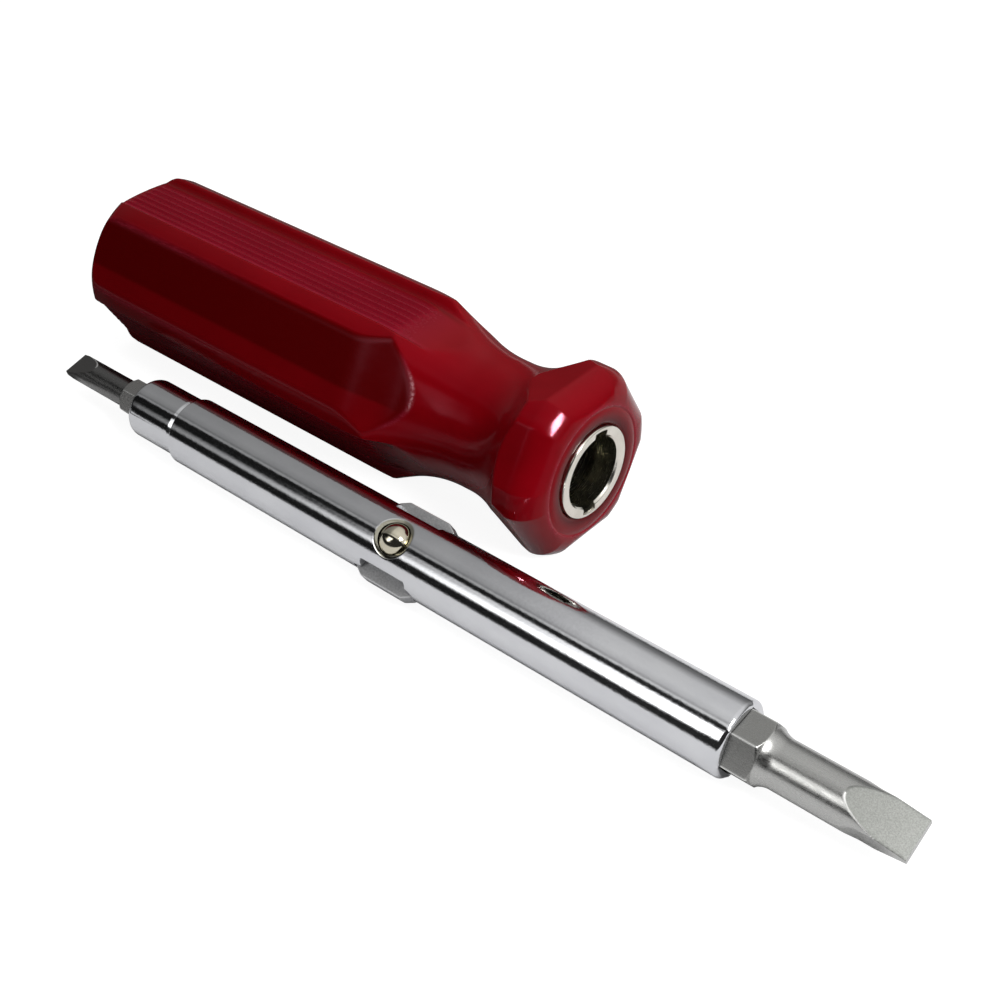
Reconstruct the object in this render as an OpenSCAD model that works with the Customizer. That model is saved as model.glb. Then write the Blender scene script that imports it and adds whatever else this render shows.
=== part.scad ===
// Pocket screwdriver with a reversible shaft, lying taken apart: the handle with its
// lined socket, and beside it the double-ended tube with a double-ended bit in each end.
// +X runs along both axes, out of the handle's socket. +Y points from the shaft to the
// handle, +Z up from the table. The origin is under the middle of the whole layout.
// Lengths in millimetres, angles in degrees.

/* [Handle] */
// Length of the handle from butt to collar face
handle_len = 93; // [70:0.1:130]
// Diameter over the long ridges
handle_d = 28.2; // [20:0.1:40]
// Depth of a ribbed channel's floor under the ridges
ribbed_depth = 2.2; // [1:0.05:4]
// Width of a ribbed channel's floor
ribbed_w = 9.2; // [5:0.1:14]
// Slope of a ribbed channel's side walls
channel_slope = 40; // [20:1:70]
// Depth of a smooth face under the ridges
smooth_depth = 1.15; // [0.3:0.05:3]
// Depth of the collar's flats under its ridges
collar_depth = 1.2; // [0.3:0.05:3]
// Rounding of the butt's edge
butt_round = 1.6; // [0.5:0.1:4]
// Rounding of the collar's front edge
collar_round = 4.3; // [1:0.1:6]
// Smallest diameter of the waist
waist_d = 20.2; // [15:0.1:30]
// Distance from the collar face to the middle of the waist
waist_back = 15.7; // [12:0.1:30]
// Length of the waist's plain middle
waist_len = 3.6; // [0.5:0.1:8]
// Radius of the waist's hollow on the grip's side, seen from the side
shoulder_r = 24; // [10:0.1:40]
// Radius of the waist's hollow on the collar's side, seen from the side
neck_r = 9.6; // [6:0.1:30]
// Fine ribs on one ribbed face
rib_count = 7; // [3:1:11]
// Diameter of one rib's rounding
rib_d = 1.1; // [0.6:0.05:2.4]
// Height of a rib over its face
rib_h = 0.3; // [0.1:0.05:0.8]
// Clear length between the ribs' ends and the grip's ends
rib_margin = 4; // [1:0.1:10]
// Distance from a channel's edge to the middle of its nearest rib
rib_edge = 0.8; // [0.4:0.1:4]
// Depth of the bore behind the liner, from the collar face
bore_depth = 85; // [60:0.5:110]
// Play of the tube in the plain bore, per side
bore_play = 0.35; // [0.1:0.05:1]

/* [Liner] */
// Outer diameter of the liner
liner_d = 13.9; // [12:0.1:18]
// Length of the liner inside the collar
liner_len = 16; // [10:0.1:30]
// How far the liner's rim stands out of the collar face
liner_lip = 0.35; // [0:0.05:1]
// Play of the tube in the liner, per side
liner_play = 0.08; // [0.02:0.01:0.3]
// Play of the ears in the keyways, per side
key_play = 0.2; // [0.05:0.05:0.6]
// Width of the edge break at the liner's mouth
liner_chamfer = 0.4; // [0.1:0.05:0.6]
// Wall left outside a keyway
liner_wall = 0.65; // [0.4:0.05:1.2]
// Angle of the keyways about the handle's axis
keyway_angle = 80; // [0:1:180]
// How far the tube's middle goes into the liner
seat_depth = 5.9; // [4:0.1:12]

/* [Shaft] */
// Outer diameter of the tube
shaft_d = 10.5; // [8:0.1:14]
// Length of the tube
shaft_len = 108.1; // [80:0.1:140]
// Diameter of the turned-down small end
small_end_d = 9.4; // [7:0.1:12]
// Length of the turned-down small end
small_end_len = 10.4; // [6:0.1:20]
// Rounding of the tube's end edges
end_round = 0.7; // [0.2:0.05:1.2]
// Bore behind the large socket and at the middle
mid_bore_d = 7.2; // [5:0.1:9]
// Bore behind the small socket
small_bore_d = 5.3; // [4:0.1:7]
// Depth of the large socket
large_socket_depth = 16; // [10:0.1:25]
// Depth of the small socket
small_socket_depth = 14; // [8:0.1:25]
// Width of the large socket across its flats
large_socket_af = 8; // [6:0.05:10]
// Width of the small socket across its flats
small_socket_af = 5.5; // [4:0.05:7]
// Turn of the sockets' flats about the tube's axis
socket_roll = 6; // [-30:1:30]

/* [Wing key] */
// Length of an ear along the tube
ear_len = 10.2; // [6:0.1:16]
// Span over both ears
ear_span = 12.2; // [11:0.1:18]
// Thickness of the plate
ear_t = 2.2; // [1:0.1:4]
// Slope length of the ear's bevelled ends
ear_bevel = 1.5; // [0.3:0.1:3]
// Distance of the flat beside an ear from the tube's axis
flat_dist = 4.3; // [3.9:0.05:5]
// Length of the flat beside an ear
flat_len = 8; // [4:0.1:16]
// Open slot left at one end of the plate
slot_gap = 0.5; // [0.1:0.05:1]
// Play of the plate in its slot, per side
slot_play = 0.05; // [0.01:0.01:0.2]

/* [Detent] */
// Diameter of the detent ball
ball_d = 4.76; // [3:0.01:6]
// How far the ball stands out of the tube
ball_out = 1; // [0.4:0.05:1.6]
// Play of the ball in its seat, per side
ball_play = 0.05; // [0.02:0.01:0.1]
// Diameter of the spot face round the ball
spot_d = 5.4; // [4:0.1:8]
// Depth of the spot face under the tube's top
spot_depth = 0.3; // [0.1:0.05:0.6]
// Outer diameter of the detent spring
spring_d = 3.2; // [2:0.1:4]
// Wire of the detent spring
spring_wire = 0.45; // [0.2:0.05:0.8]
// Turns of the detent spring
spring_turns = 5; // [3:1:10]
// Play round the detent spring, per side
spring_play = 0.25; // [0.1:0.05:0.6]
// Depth of the spring's seat under the bore's wall
spring_seat = 0.2; // [0.05:0.05:0.5]

/* [Bits] */
// Play of a bit's hexagon in its socket, per side
hex_play = 0.07; // [0.02:0.01:0.2]
// Length of the large bit's hexagon
large_hex_len = 14; // [8:0.1:25]
// How far the large hexagon stands out of the tube
large_hex_out = 3.9; // [0.5:0.1:8]
// How far the large blade's tip stands out of the tube
large_tip_out = 23.5; // [12:0.1:40]
// Diameter of the large bit's shank
large_shank_d = 6.6; // [4:0.05:8]
// Width of the large blade at its tip
large_blade_w = 5.6; // [3:0.1:8]
// Thickness of the large blade at its tip
large_blade_t = 1; // [0.4:0.05:2]
// Length of the large blade's ground faces
large_grind = 10; // [4:0.1:18]
// Length of the flare between the large hexagon and its shank
large_flare = 1.9; // [0.3:0.1:4]
// Turn of the large blade's width about the tube's axis
large_blade_roll = -11.6; // [-90:0.1:90]
// Length of the small bit's hexagon
small_hex_len = 13; // [6:0.1:22]
// How far the small hexagon stands out of the tube
small_hex_out = 4.2; // [0.5:0.1:8]
// How far the small blade's tip stands out of the tube
small_tip_out = 18.2; // [8:0.1:40]
// Diameter of the small bit's shank
small_shank_d = 4.4; // [3:0.05:6]
// Width of the small blade at its tip
small_blade_w = 4.2; // [2:0.1:6]
// Thickness of the small blade at its tip
small_blade_t = 0.8; // [0.3:0.05:1.5]
// Length of the small blade's ground faces
small_grind = 6; // [3:0.1:14]
// Length of the step between the small hexagon and its shank
small_flare = 0.3; // [0.1:0.1:3]
// Turn of the small blade's width about the tube's axis
small_blade_roll = -16.6; // [-90:0.1:90]
// Slope length of the break at a hexagon's ends
hex_break = 0.5; // [0.1:0.05:1]
// Radius of a cross point's blunt end as a share of its shank's
point_share = 0.3; // [0.15:0.05:0.5]
// Half angle of a cross point
point_half_angle = 28; // [20:1:35]
// Core radius of a cross point as a share of its shank's
core_share = 0.2; // [0.1:0.02:0.4]
// Slope of a cross point's flutes
flute_slope = 12; // [5:1:25]
// Diameter of the large bit's holding ball
large_keep_d = 2.5; // [1.5:0.1:3.5]
// Diameter of the small bit's holding ball
small_keep_d = 1.8; // [1:0.1:2.5]
// Play of a holding ball in its hole, per side
keep_play = 0.05; // [0.02:0.01:0.15]
// Play between a holding ball and the socket's wall
keep_touch = 0.02; // [0.01:0.01:0.05]
// Depth of the large ball's hole past the bit's axis
large_keep_depth = 2; // [0.5:0.1:3]
// Depth of the small ball's hole past the bit's axis
small_keep_depth = 1.5; // [0.4:0.1:2]
// Wire of the holding springs
keep_wire = 0.25; // [0.1:0.05:0.4]
// Turns of the large bit's spring
large_keep_turns = 4; // [2:1:8]
// Turns of the small bit's spring
small_keep_turns = 3; // [2:1:8]

/* [Layout on the table] */
// Distance across the table between the two axes
axis_gap = 22.5; // [20:0.1:60]
// How far the collar face lies behind the tube's large end
collar_back = 39.9; // [0:0.1:90]
// Turn of the shaft about its own axis
shaft_roll = 31.6; // [-90:0.1:90]

/* [Hidden] */
$fn = 96;
over = 1;
ridge_count = 6;
face_pairs = 3;
hex_sides = 6;
third = 360 / face_pairs;
wire_sides = 6;
wire_steps = 8;
handle_r = handle_d / 2;
shaft_r = shaft_d / 2;
// Distances of the handle's faces from its axis
ribbed_dist = handle_r - ribbed_depth;
smooth_dist = handle_r - smooth_depth;
collar_dist = handle_r - collar_depth;
// The handle lies on its lowest smooth face
handle_z = smooth_dist;
rib_room = ribbed_w / 2 - rib_edge;
waist_x = handle_len - waist_back;
// Where the waist's hollow meets the ridges
waist_reach = waist_len / 2 + sqrt(pow(shoulder_r, 2) - pow(waist_d / 2 + shoulder_r - handle_r, 2));
liner_bore_r = shaft_r + liner_play;
keyway_r = ear_span / 2 + key_play;
keyway_w = ear_t + 2 * key_play;
keyway_len = seat_depth + ear_len / 2 + key_play;
liner_r = max(liner_d / 2, keyway_r + liner_wall);
ball_r = ball_d / 2;
ball_z = shaft_r + ball_out - ball_r;
ball_groove_r = shaft_r + ball_out + ball_play;
spring_foot = -mid_bore_d / 2 - spring_seat;
spring_len = ball_z - ball_r - spring_foot;
spring_hole_r = spring_d / 2 + spring_play;
large_af = large_socket_af - 2 * hex_play;
small_af = small_socket_af - 2 * hex_play;
// Middles of the two hexagons, from the tube's middle
large_hex_x = shaft_len / 2 + large_hex_out - large_hex_len / 2;
small_hex_x = -shaft_len / 2 - small_hex_out + small_hex_len / 2;
large_reach = large_tip_out - large_hex_out + large_hex_len / 2;
small_reach = small_tip_out - small_hex_out + small_hex_len / 2;
large_keep_r = large_socket_af / 2 - keep_touch - large_keep_d / 2;
small_keep_r = small_socket_af / 2 - keep_touch - small_keep_d / 2;
large_keep_len = large_keep_r - large_keep_d / 2 + large_keep_depth;
small_keep_len = small_keep_r - small_keep_d / 2 + small_keep_depth;
// Direction of the holding balls about the tube's axis, from its ball
keep_turn = 180 - 30 + socket_roll;
// Outline of the whole layout, with the tube's middle at x = 0 and its axis at y = 0
butt_x = shaft_len / 2 - collar_back - handle_len;
tip_x = shaft_len / 2 + large_tip_out;
low_y = -(ear_span / 2 * cos(shaft_roll) + ear_t / 2 * sin(shaft_roll));
high_y = axis_gap + handle_r;
mid_x = (butt_x + tip_x) / 2;
mid_y = (low_y + high_y) / 2;
shaft_at = [-mid_x, -mid_y, shaft_r];
handle_at = [butt_x - mid_x, axis_gap - mid_y, handle_z];

// Least gap of a spring to itself, for the record of the build
function coil_gap(len, wire, turns) = (len - wire) / turns - wire;
echo(detent_spring_gap = coil_gap(spring_len, spring_wire, spring_turns));
echo(large_keep_gap = coil_gap(large_keep_len, keep_wire, large_keep_turns));
echo(small_keep_gap = coil_gap(small_keep_len, keep_wire, small_keep_turns));
echo(shaft_at = shaft_at, handle_at = handle_at, liner_bore_r = liner_bore_r, tip = tip_x - mid_x);

// Turns what is drawn along Z so that it lies along X
module along_x() {
    rotate([0, 90, 0]) children();
}

// The shaft's own frame: ball upward, ears to both sides, X along the tube from its middle
module in_shaft() {
    translate(shaft_at) rotate([shaft_roll, 0, 0]) children();
}

// The handle's own frame: X from the butt to the collar face
module in_handle() {
    translate(handle_at) children();
}

// One unbroken wire wound up from the foot at z = 0
module wound_wire(len, outer_d, wire, turns) {
    wire_r = wire / 2;
    coil_r = outer_d / 2 - wire_r;
    rise = len - wire;
    rings = turns * wire_steps;
    slope = atan2(rise / turns, 2 * PI * coil_r);
    points = [for (i = [0:rings]) for (j = [0:wire_sides - 1])
        let (a = 360 * i / wire_steps, b = 360 * j / wire_sides)
        let (out = coil_r + wire_r * cos(b), up = wire_r * sin(b))
        [out * cos(a) + up * sin(slope) * sin(a), out * sin(a) - up * sin(slope) * cos(a),
            wire_r + rise * i / rings + up * cos(slope)]];
    lower = [for (i = [0:rings - 1]) for (j = [0:wire_sides - 1])
        [i * wire_sides + j, (i + 1) * wire_sides + j, (i + 1) * wire_sides + (j + 1) % wire_sides]];
    upper = [for (i = [0:rings - 1]) for (j = [0:wire_sides - 1])
        [i * wire_sides + j, (i + 1) * wire_sides + (j + 1) % wire_sides, i * wire_sides + (j + 1) % wire_sides]];
    foot = [for (j = [1:wire_sides - 2]) [0, j, j + 1]];
    head = [for (j = [1:wire_sides - 2]) [rings * wire_sides, rings * wire_sides + j + 1, rings * wire_sides + j]];
    polyhedron(points = points, faces = concat(lower, upper, foot, head));
}

// Half of the handle's outline, turned into its round envelope
module handle_profile() {
    difference() {
        union() {
            translate([0, butt_round]) square([handle_r, handle_len - butt_round - collar_round]);
            square([handle_r - butt_round, handle_len]);
            translate([handle_r - butt_round, butt_round]) circle(r = butt_round);
            translate([0, handle_len - collar_round]) square([handle_r - collar_round, collar_round]);
            translate([handle_r - collar_round, handle_len - collar_round]) circle(r = collar_round);
        }
        translate([handle_r - collar_round, handle_len - collar_round]) difference() {
            square([handle_r, handle_r]);
            circle(r = collar_round);
        }
        translate([handle_r - butt_round, butt_round]) difference() {
            translate([0, -handle_r]) square([handle_r, handle_r]);
            circle(r = butt_round);
        }
        waist_hollow();
        translate([-handle_r, -over]) square([handle_r, handle_len + 2 * over]);
    }
}

// Outline of the waist's hollow: a long curve to the grip and a short one to the collar
module waist_hollow() {
    grip_side = waist_x - waist_len / 2;
    collar_side = waist_x + waist_len / 2;
    intersection() {
        translate([waist_d / 2 + shoulder_r, grip_side]) circle(r = shoulder_r);
        translate([0, grip_side - shoulder_r]) square([handle_d, shoulder_r]);
    }
    intersection() {
        translate([waist_d / 2 + neck_r, collar_side]) circle(r = neck_r);
        translate([0, collar_side]) square([handle_d, neck_r]);
    }
    translate([waist_d / 2, grip_side]) square([handle_d, waist_len]);
}

// Cross section of the grip: round ridges between ribbed channels and smooth flats
module grip_section() {
    rise = handle_r - ribbed_dist + over;
    half = ribbed_w / 2;
    half_top = half + rise / tan(channel_slope);
    difference() {
        circle(r = handle_r + over);
        for (i = [0:face_pairs - 1]) {
            rotate(i * third) translate([ribbed_dist, 0])
                polygon([[0, -half], [rise, -half_top], [rise, half_top], [0, half]]);
            rotate(i * third + third / 2) translate([smooth_dist, -handle_r]) square([handle_r, handle_d]);
        }
    }
}

// Cross section of the collar: a flat between each two ridges
module collar_section() {
    difference() {
        circle(r = handle_r + over);
        for (i = [0:ridge_count - 1])
            rotate(i * third / 2) translate([collar_dist, -handle_r]) square([handle_r, handle_d]);
    }
}

module handle_ribs() {
    rib_start = rib_margin;
    rib_end = waist_x - waist_reach - rib_margin;
    for (i = [0:face_pairs - 1])
        for (j = [0:rib_count - 1])
            rotate(i * third)
                translate([ribbed_dist + rib_h - rib_d / 2, rib_room * (2 * j / (rib_count - 1) - 1), rib_start])
                    cylinder(d = rib_d, h = rib_end - rib_start);
}

module handle_grip() {
    color([0.55, 0.02, 0.05]) in_handle() difference() {
        along_x() rotate(180) union() {
            intersection() {
                rotate_extrude() handle_profile();
                union() {
                    linear_extrude(waist_x) grip_section();
                    translate([0, 0, waist_x]) linear_extrude(waist_back) collar_section();
                }
            }
            handle_ribs();
        }
        translate([handle_len - bore_depth, 0, 0])
            along_x() cylinder(r = shaft_r + bore_play, h = bore_depth + over);
        translate([handle_len - liner_len, 0, 0]) along_x() cylinder(r = liner_r, h = liner_len + over);
    }
}

module socket_liner() {
    full_len = liner_len + liner_lip;
    color([0.78, 0.76, 0.72]) in_handle() translate([handle_len - liner_len, 0, 0]) difference() {
        along_x() cylinder(r = liner_r, h = full_len);
        translate([-over, 0, 0]) along_x() cylinder(r = liner_bore_r, h = full_len + 2 * over);
        translate([full_len - liner_chamfer, 0, 0])
            along_x() cylinder(r1 = liner_bore_r, r2 = liner_bore_r + liner_chamfer, h = liner_chamfer);
        translate([liner_len - seat_depth - ball_r, 0, 0]) along_x() cylinder(r = ball_groove_r, h = ball_d);
        rotate([keyway_angle, 0, 0]) translate([liner_len - keyway_len, -keyway_r, -keyway_w / 2])
            cube([keyway_len + liner_lip + over, 2 * keyway_r, keyway_w]);
    }
}

// Half of the tube's outline with both end edges rounded
module tube_profile() {
    small_r = small_end_d / 2;
    half = shaft_len / 2;
    union() {
        translate([0, -half]) square([small_r - end_round, shaft_len]);
        translate([0, -half + end_round]) square([small_r, small_end_len]);
        translate([small_r - end_round, -half + end_round]) circle(r = end_round);
        translate([0, -half + small_end_len]) square([shaft_r, shaft_len - small_end_len - end_round]);
        translate([0, half - end_round]) square([shaft_r - end_round, end_round]);
        translate([shaft_r - end_round, half - end_round]) circle(r = end_round);
    }
}

module shaft_tube() {
    half = shaft_len / 2;
    color([0.86, 0.87, 0.88]) in_shaft() difference() {
        along_x() rotate_extrude() tube_profile();
        translate([-ear_len / 2 - slot_gap - over, 0, 0])
            along_x() cylinder(d = mid_bore_d, h = half + ear_len / 2 + slot_gap);
        translate([-half + over, 0, 0]) along_x() cylinder(d = small_bore_d, h = half);
        rotate([socket_roll, 0, 0]) translate([half - large_socket_depth, 0, 0])
            along_x() cylinder(d = large_socket_af / cos(30), h = large_socket_depth + over, $fn = hex_sides);
        rotate([socket_roll, 0, 0]) translate([-half - over, 0, 0])
            along_x() cylinder(d = small_socket_af / cos(30), h = small_socket_depth + over, $fn = hex_sides);
        translate([-ear_len / 2 - slot_gap, -shaft_d, -ear_t / 2 - slot_play])
            cube([ear_len + slot_gap + slot_play, 2 * shaft_d, ear_t + 2 * slot_play]);
        for (s = [-1, 1]) translate([-flat_len / 2, s * (flat_dist + shaft_d / 2) - shaft_d / 2, -shaft_r])
            cube([flat_len, shaft_d, shaft_d]);
        translate([0, 0, ball_z]) sphere(r = ball_r + ball_play);
        cylinder(r = ball_r + ball_play, h = ball_z);
        translate([0, 0, shaft_r - spot_depth]) cylinder(d = spot_d, h = over);
        translate([0, 0, spring_foot]) cylinder(r = spring_hole_r, h = mid_bore_d / 2);
    }
}

module wing_key() {
    half_span = ear_span / 2;
    color([0.5, 0.5, 0.5]) in_shaft() difference() {
        translate([0, 0, -ear_t / 2]) linear_extrude(ear_t) polygon([
            [-ear_len / 2, -shaft_r], [-ear_len / 2 + ear_bevel, -half_span], [ear_len / 2 - ear_bevel, -half_span],
            [ear_len / 2, -shaft_r], [ear_len / 2, shaft_r], [ear_len / 2 - ear_bevel, half_span],
            [-ear_len / 2 + ear_bevel, half_span], [-ear_len / 2, shaft_r]]);
        translate([0, 0, -ear_t]) cylinder(r = spring_hole_r, h = 2 * ear_t);
    }
}

module detent_ball() {
    color([0.82, 0.78, 0.66]) in_shaft() translate([0, 0, ball_z]) sphere(r = ball_r);
}

module detent_spring() {
    color([0.6, 0.6, 0.62]) in_shaft() translate([0, 0, spring_foot])
        wound_wire(spring_len, spring_d, spring_wire, spring_turns);
}

// Round outline of a bit on the blade's side of the hexagon, with the flare at its foot
module bit_profile(af, hex_len, shank_d, reach, flare) {
    corner = af / cos(30) / 2;
    rise = (af - shank_d) / 2;
    flare_r = (pow(flare, 2) + pow(rise, 2)) / (2 * rise);
    difference() {
        union() {
            square([shank_d / 2, reach]);
            square([af / 2, hex_len / 2 + flare]);
            polygon([[0, 0], [corner, 0], [corner, hex_len / 2 - hex_break], [af / 2, hex_len / 2], [0, hex_len / 2]]);
        }
        translate([shank_d / 2 + flare_r, hex_len / 2 + flare]) circle(r = flare_r);
    }
}

// Two tapered grinds leave the blade, in a frame whose X runs to the tip and Y across the blade
module blade_shape(shank_d, reach, blade_w, blade_t, grind) {
    shank_r = shank_d / 2;
    wide = shank_d + 2 * over;
    intersection() {
        rotate([90, 0, 0]) translate([0, 0, -wide]) linear_extrude(2 * wide) polygon([
            [0, -wide], [reach - grind, -wide], [reach - grind, -shank_r], [reach, -blade_t / 2],
            [reach, blade_t / 2], [reach - grind, shank_r], [reach - grind, wide], [0, wide]]);
        translate([0, 0, -wide]) linear_extrude(2 * wide) polygon([
            [0, -wide], [reach - grind, -wide], [reach - grind, -shank_r], [reach, -blade_w / 2],
            [reach, blade_w / 2], [reach - grind, shank_r], [reach - grind, wide], [0, wide]]);
    }
}

// Cross point: a cone with four flutes, in a frame whose X runs to the point
module cross_point(shank_d, reach) {
    shank_r = shank_d / 2;
    end_r = shank_r * point_share;
    cone_len = (shank_r - end_r) / tan(point_half_angle);
    flute_len = 2 * cone_len;
    difference() {
        along_x() union() {
            cylinder(r = shank_r, h = reach - cone_len);
            translate([0, 0, reach - cone_len]) cylinder(r1 = shank_r, r2 = end_r, h = cone_len);
        }
        for (i = [0:3]) rotate([90 * i, 0, 0]) translate([reach, 0, shank_r * core_share]) rotate([0, flute_slope, 0])
            rotate([45, 0, 0]) translate([-flute_len, 0, 0]) cube([2 * flute_len, shank_d, shank_d]);
    }
}

// A double-ended bit about the middle of its hexagon, with its blade toward +X
module double_bit(af, hex_len, shank_d, reach, flare, blade_w, blade_t, grind, blade_turn, keep_d, keep_depth) {
    difference() {
        union() {
            intersection() {
                rotate([blade_turn, 0, 0]) blade_shape(shank_d, reach, blade_w, blade_t, grind);
                along_x() rotate_extrude() bit_profile(af, hex_len, shank_d, reach, flare);
                union() {
                    along_x() cylinder(d = af / cos(30), h = hex_len / 2 + flare, $fn = hex_sides);
                    along_x() cylinder(d = shank_d, h = reach);
                }
            }
            intersection() {
                mirror([1, 0, 0]) along_x() rotate_extrude() bit_profile(af, hex_len, shank_d, hex_len, hex_break);
                translate([-hex_len, 0, 0]) along_x() cylinder(d = af / cos(30), h = hex_len, $fn = hex_sides);
            }
            mirror([1, 0, 0]) cross_point(shank_d, reach);
        }
        rotate([keep_turn - socket_roll, 0, 0]) translate([0, 0, -keep_depth])
            cylinder(d = keep_d + 2 * keep_play, h = af);
    }
}

// Frames of the two bits inside the tube
module in_large() {
    in_shaft() translate([large_hex_x, 0, 0]) rotate([socket_roll, 0, 0]) children();
}

module in_small() {
    in_shaft() translate([small_hex_x, 0, 0]) rotate([socket_roll, 0, 0]) rotate([0, 0, 180]) children();
}

module large_bit() {
    color([0.62, 0.62, 0.62]) in_large() double_bit(large_af, large_hex_len, large_shank_d, large_reach, large_flare,
        large_blade_w, large_blade_t, large_grind, large_blade_roll - socket_roll, large_keep_d, large_keep_depth);
}

module large_bit_ball() {
    color([0.8, 0.8, 0.8]) in_large() rotate([keep_turn - socket_roll, 0, 0])
        translate([0, 0, large_keep_r]) sphere(d = large_keep_d);
}

module large_bit_spring() {
    color([0.6, 0.6, 0.62]) in_large() rotate([keep_turn - socket_roll, 0, 0]) translate([0, 0, -large_keep_depth])
        wound_wire(large_keep_len, large_keep_d - 2 * keep_wire, keep_wire, large_keep_turns);
}

module small_bit() {
    color([0.62, 0.62, 0.62]) in_small() double_bit(small_af, small_hex_len, small_shank_d, small_reach, small_flare,
        small_blade_w, small_blade_t, small_grind, socket_roll - small_blade_roll, small_keep_d, small_keep_depth);
}

module small_bit_ball() {
    color([0.8, 0.8, 0.8]) in_small() rotate([keep_turn - socket_roll, 0, 0])
        translate([0, 0, small_keep_r]) sphere(d = small_keep_d);
}

module small_bit_spring() {
    color([0.6, 0.6, 0.62]) in_small() rotate([keep_turn - socket_roll, 0, 0]) translate([0, 0, -small_keep_depth])
        wound_wire(small_keep_len, small_keep_d - 2 * keep_wire, keep_wire, small_keep_turns);
}

handle_grip();
socket_liner();
shaft_tube();
wing_key();
detent_ball();
detent_spring();
large_bit();
large_bit_ball();
large_bit_spring();
small_bit();
small_bit_ball();
small_bit_spring();
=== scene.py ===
"""Looks of the pocket screwdriver that lies taken apart: the red handle and the double-ended shaft.

Every piece is a surface worked out as numpy arrays in millimetres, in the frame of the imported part, and is written
to its mesh in metres. Angles are in degrees until they reach a sine or a cosine.
"""

import logging
import math
from dataclasses import dataclass
from enum import Enum
from functools import partial
from typing import Callable, Sequence

import bmesh
import bpy
import numpy as np
from mathutils import Matrix, Vector

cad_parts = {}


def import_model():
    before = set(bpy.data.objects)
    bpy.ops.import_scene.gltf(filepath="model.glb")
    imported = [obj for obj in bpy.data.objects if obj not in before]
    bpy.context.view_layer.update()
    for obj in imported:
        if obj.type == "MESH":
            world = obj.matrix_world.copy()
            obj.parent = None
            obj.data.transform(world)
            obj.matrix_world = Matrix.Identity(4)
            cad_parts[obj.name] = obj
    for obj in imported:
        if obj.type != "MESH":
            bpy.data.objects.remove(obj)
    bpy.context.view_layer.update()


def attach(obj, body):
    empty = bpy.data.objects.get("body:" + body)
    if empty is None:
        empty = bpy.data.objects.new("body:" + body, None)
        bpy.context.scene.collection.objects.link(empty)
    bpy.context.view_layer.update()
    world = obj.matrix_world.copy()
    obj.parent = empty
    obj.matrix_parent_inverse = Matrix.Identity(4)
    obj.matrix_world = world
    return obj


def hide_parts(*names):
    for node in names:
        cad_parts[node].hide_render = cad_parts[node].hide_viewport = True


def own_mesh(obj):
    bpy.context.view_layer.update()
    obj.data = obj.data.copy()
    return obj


MM = 0.001
SHORTEST_EDGE = 1e-7
LOG = logging.getLogger("screwdriver")
Array = np.ndarray
Socket = bpy.types.NodeSocket
Colour = tuple[float, float, float]
Span = tuple[float, float]
Stops = tuple[Span, ...]
Polar = tuple[Array, Array, Array]

FULL_TURN = 360.0
SECTOR = 120.0
SMOOTH_AT = 30.0
RIBBED_AT = 90.0
BELOW_AT = 270.0
HEX_SECTOR = 60.0
HEX_CORNER = 30.0
BALL_AT = 90.0
EARS_AT = 0.0


class Slot(Enum):
    """The record's material slots."""

    HANDLE = "handle_plastic"
    LINER = "liner_nickel"
    TUBE = "tube_chrome"
    KEY = "key_steel"
    BALL = "ball_steel"
    SPRING = "spring_steel"
    BIT = "bit_steel"


class Facing(Enum):
    """Which way a bit's blade looks along the shaft."""

    AHEAD = 1.0
    BACK = -1.0


# Shape helpers


def wrap(angle: Array, period: float) -> Array:
    """Angle brought into the half-open span of one period about zero, in degrees."""
    return (angle + period / 2) % period - period / 2


def cosd(angle: Array) -> Array:
    """Cosine of an angle in degrees."""
    return np.cos(np.radians(angle))


def sind(angle: Array) -> Array:
    """Sine of an angle in degrees."""
    return np.sin(np.radians(angle))


def soft_min(a: Array, b: Array, blend: float) -> Array:
    """Smaller of two lengths, rounded where they meet.

    The plain minimum is lowered by a parabola that is widest where both are equal.

    Args:
        a: First length.
        b: Second length.
        blend: Difference of the two over which the corner is rounded.

    Returns:
        The rounded minimum.
    """
    share = np.maximum(blend - np.abs(a - b), 0.0) / blend
    return np.minimum(a, b) - share * share * blend / 4


def soft_max(a: Array, b: Array, blend: float) -> Array:
    """Larger of two lengths, rounded where they meet, as soft_min turned over."""
    return -soft_min(-a, -b, blend)


def ease(value: Array, start: float, stop: float) -> Array:
    """Smooth step from 0 at start to 1 at stop, as 3t^2 - 2t^3."""
    t = np.clip((value - start) / (stop - start), 0.0, 1.0)
    return t * t * (3 - 2 * t)


def fade(value: Array, start: float, stop: float) -> Array:
    """Smooth step from 1 at start to 0 at stop, as 1 less ease."""
    return 1.0 - ease(value, start, stop)


def bell(value: Array, middle: float, width: float, power: int = 2) -> Array:
    """Hump of height 1, as e to the power of -((value - middle) / width)^power."""
    return np.exp(-(((value - middle) / width) ** power))


def chord(distance: Array, share: Array, least: float = 0.01) -> Array:
    """Radius of a straight face: its distance from the axis over a sine or cosine that is kept off zero."""
    return distance / np.maximum(np.abs(share), least)


def spread(*runs: tuple[float, float, int]) -> Array:
    """Sorted stations from runs of start, stop and count, with repeats dropped."""
    points = np.concatenate([np.linspace(a, b, n) for a, b, n in runs])
    return np.unique(np.round(points, 5))


def stations(stops: Sequence[float], counts: Sequence[int]) -> Array:
    """Stations from one stop to the next, with a count for each run."""
    return spread(*zip(stops, stops[1:], counts))


def turned(profile: Sequence[Span], places: int) -> tuple[Array, Array]:
    """Radii and stations of a turned profile, repeated round the axis.

    Args:
        profile: Radius and station of each ring.
        places: Number of places round a ring.

    Returns:
        Radii and stations as rings by places.
    """
    lines = np.array(profile)
    shape = (len(lines), places)
    return np.broadcast_to(lines[:, :1], shape), np.broadcast_to(lines[:, 1:], shape)


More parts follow.
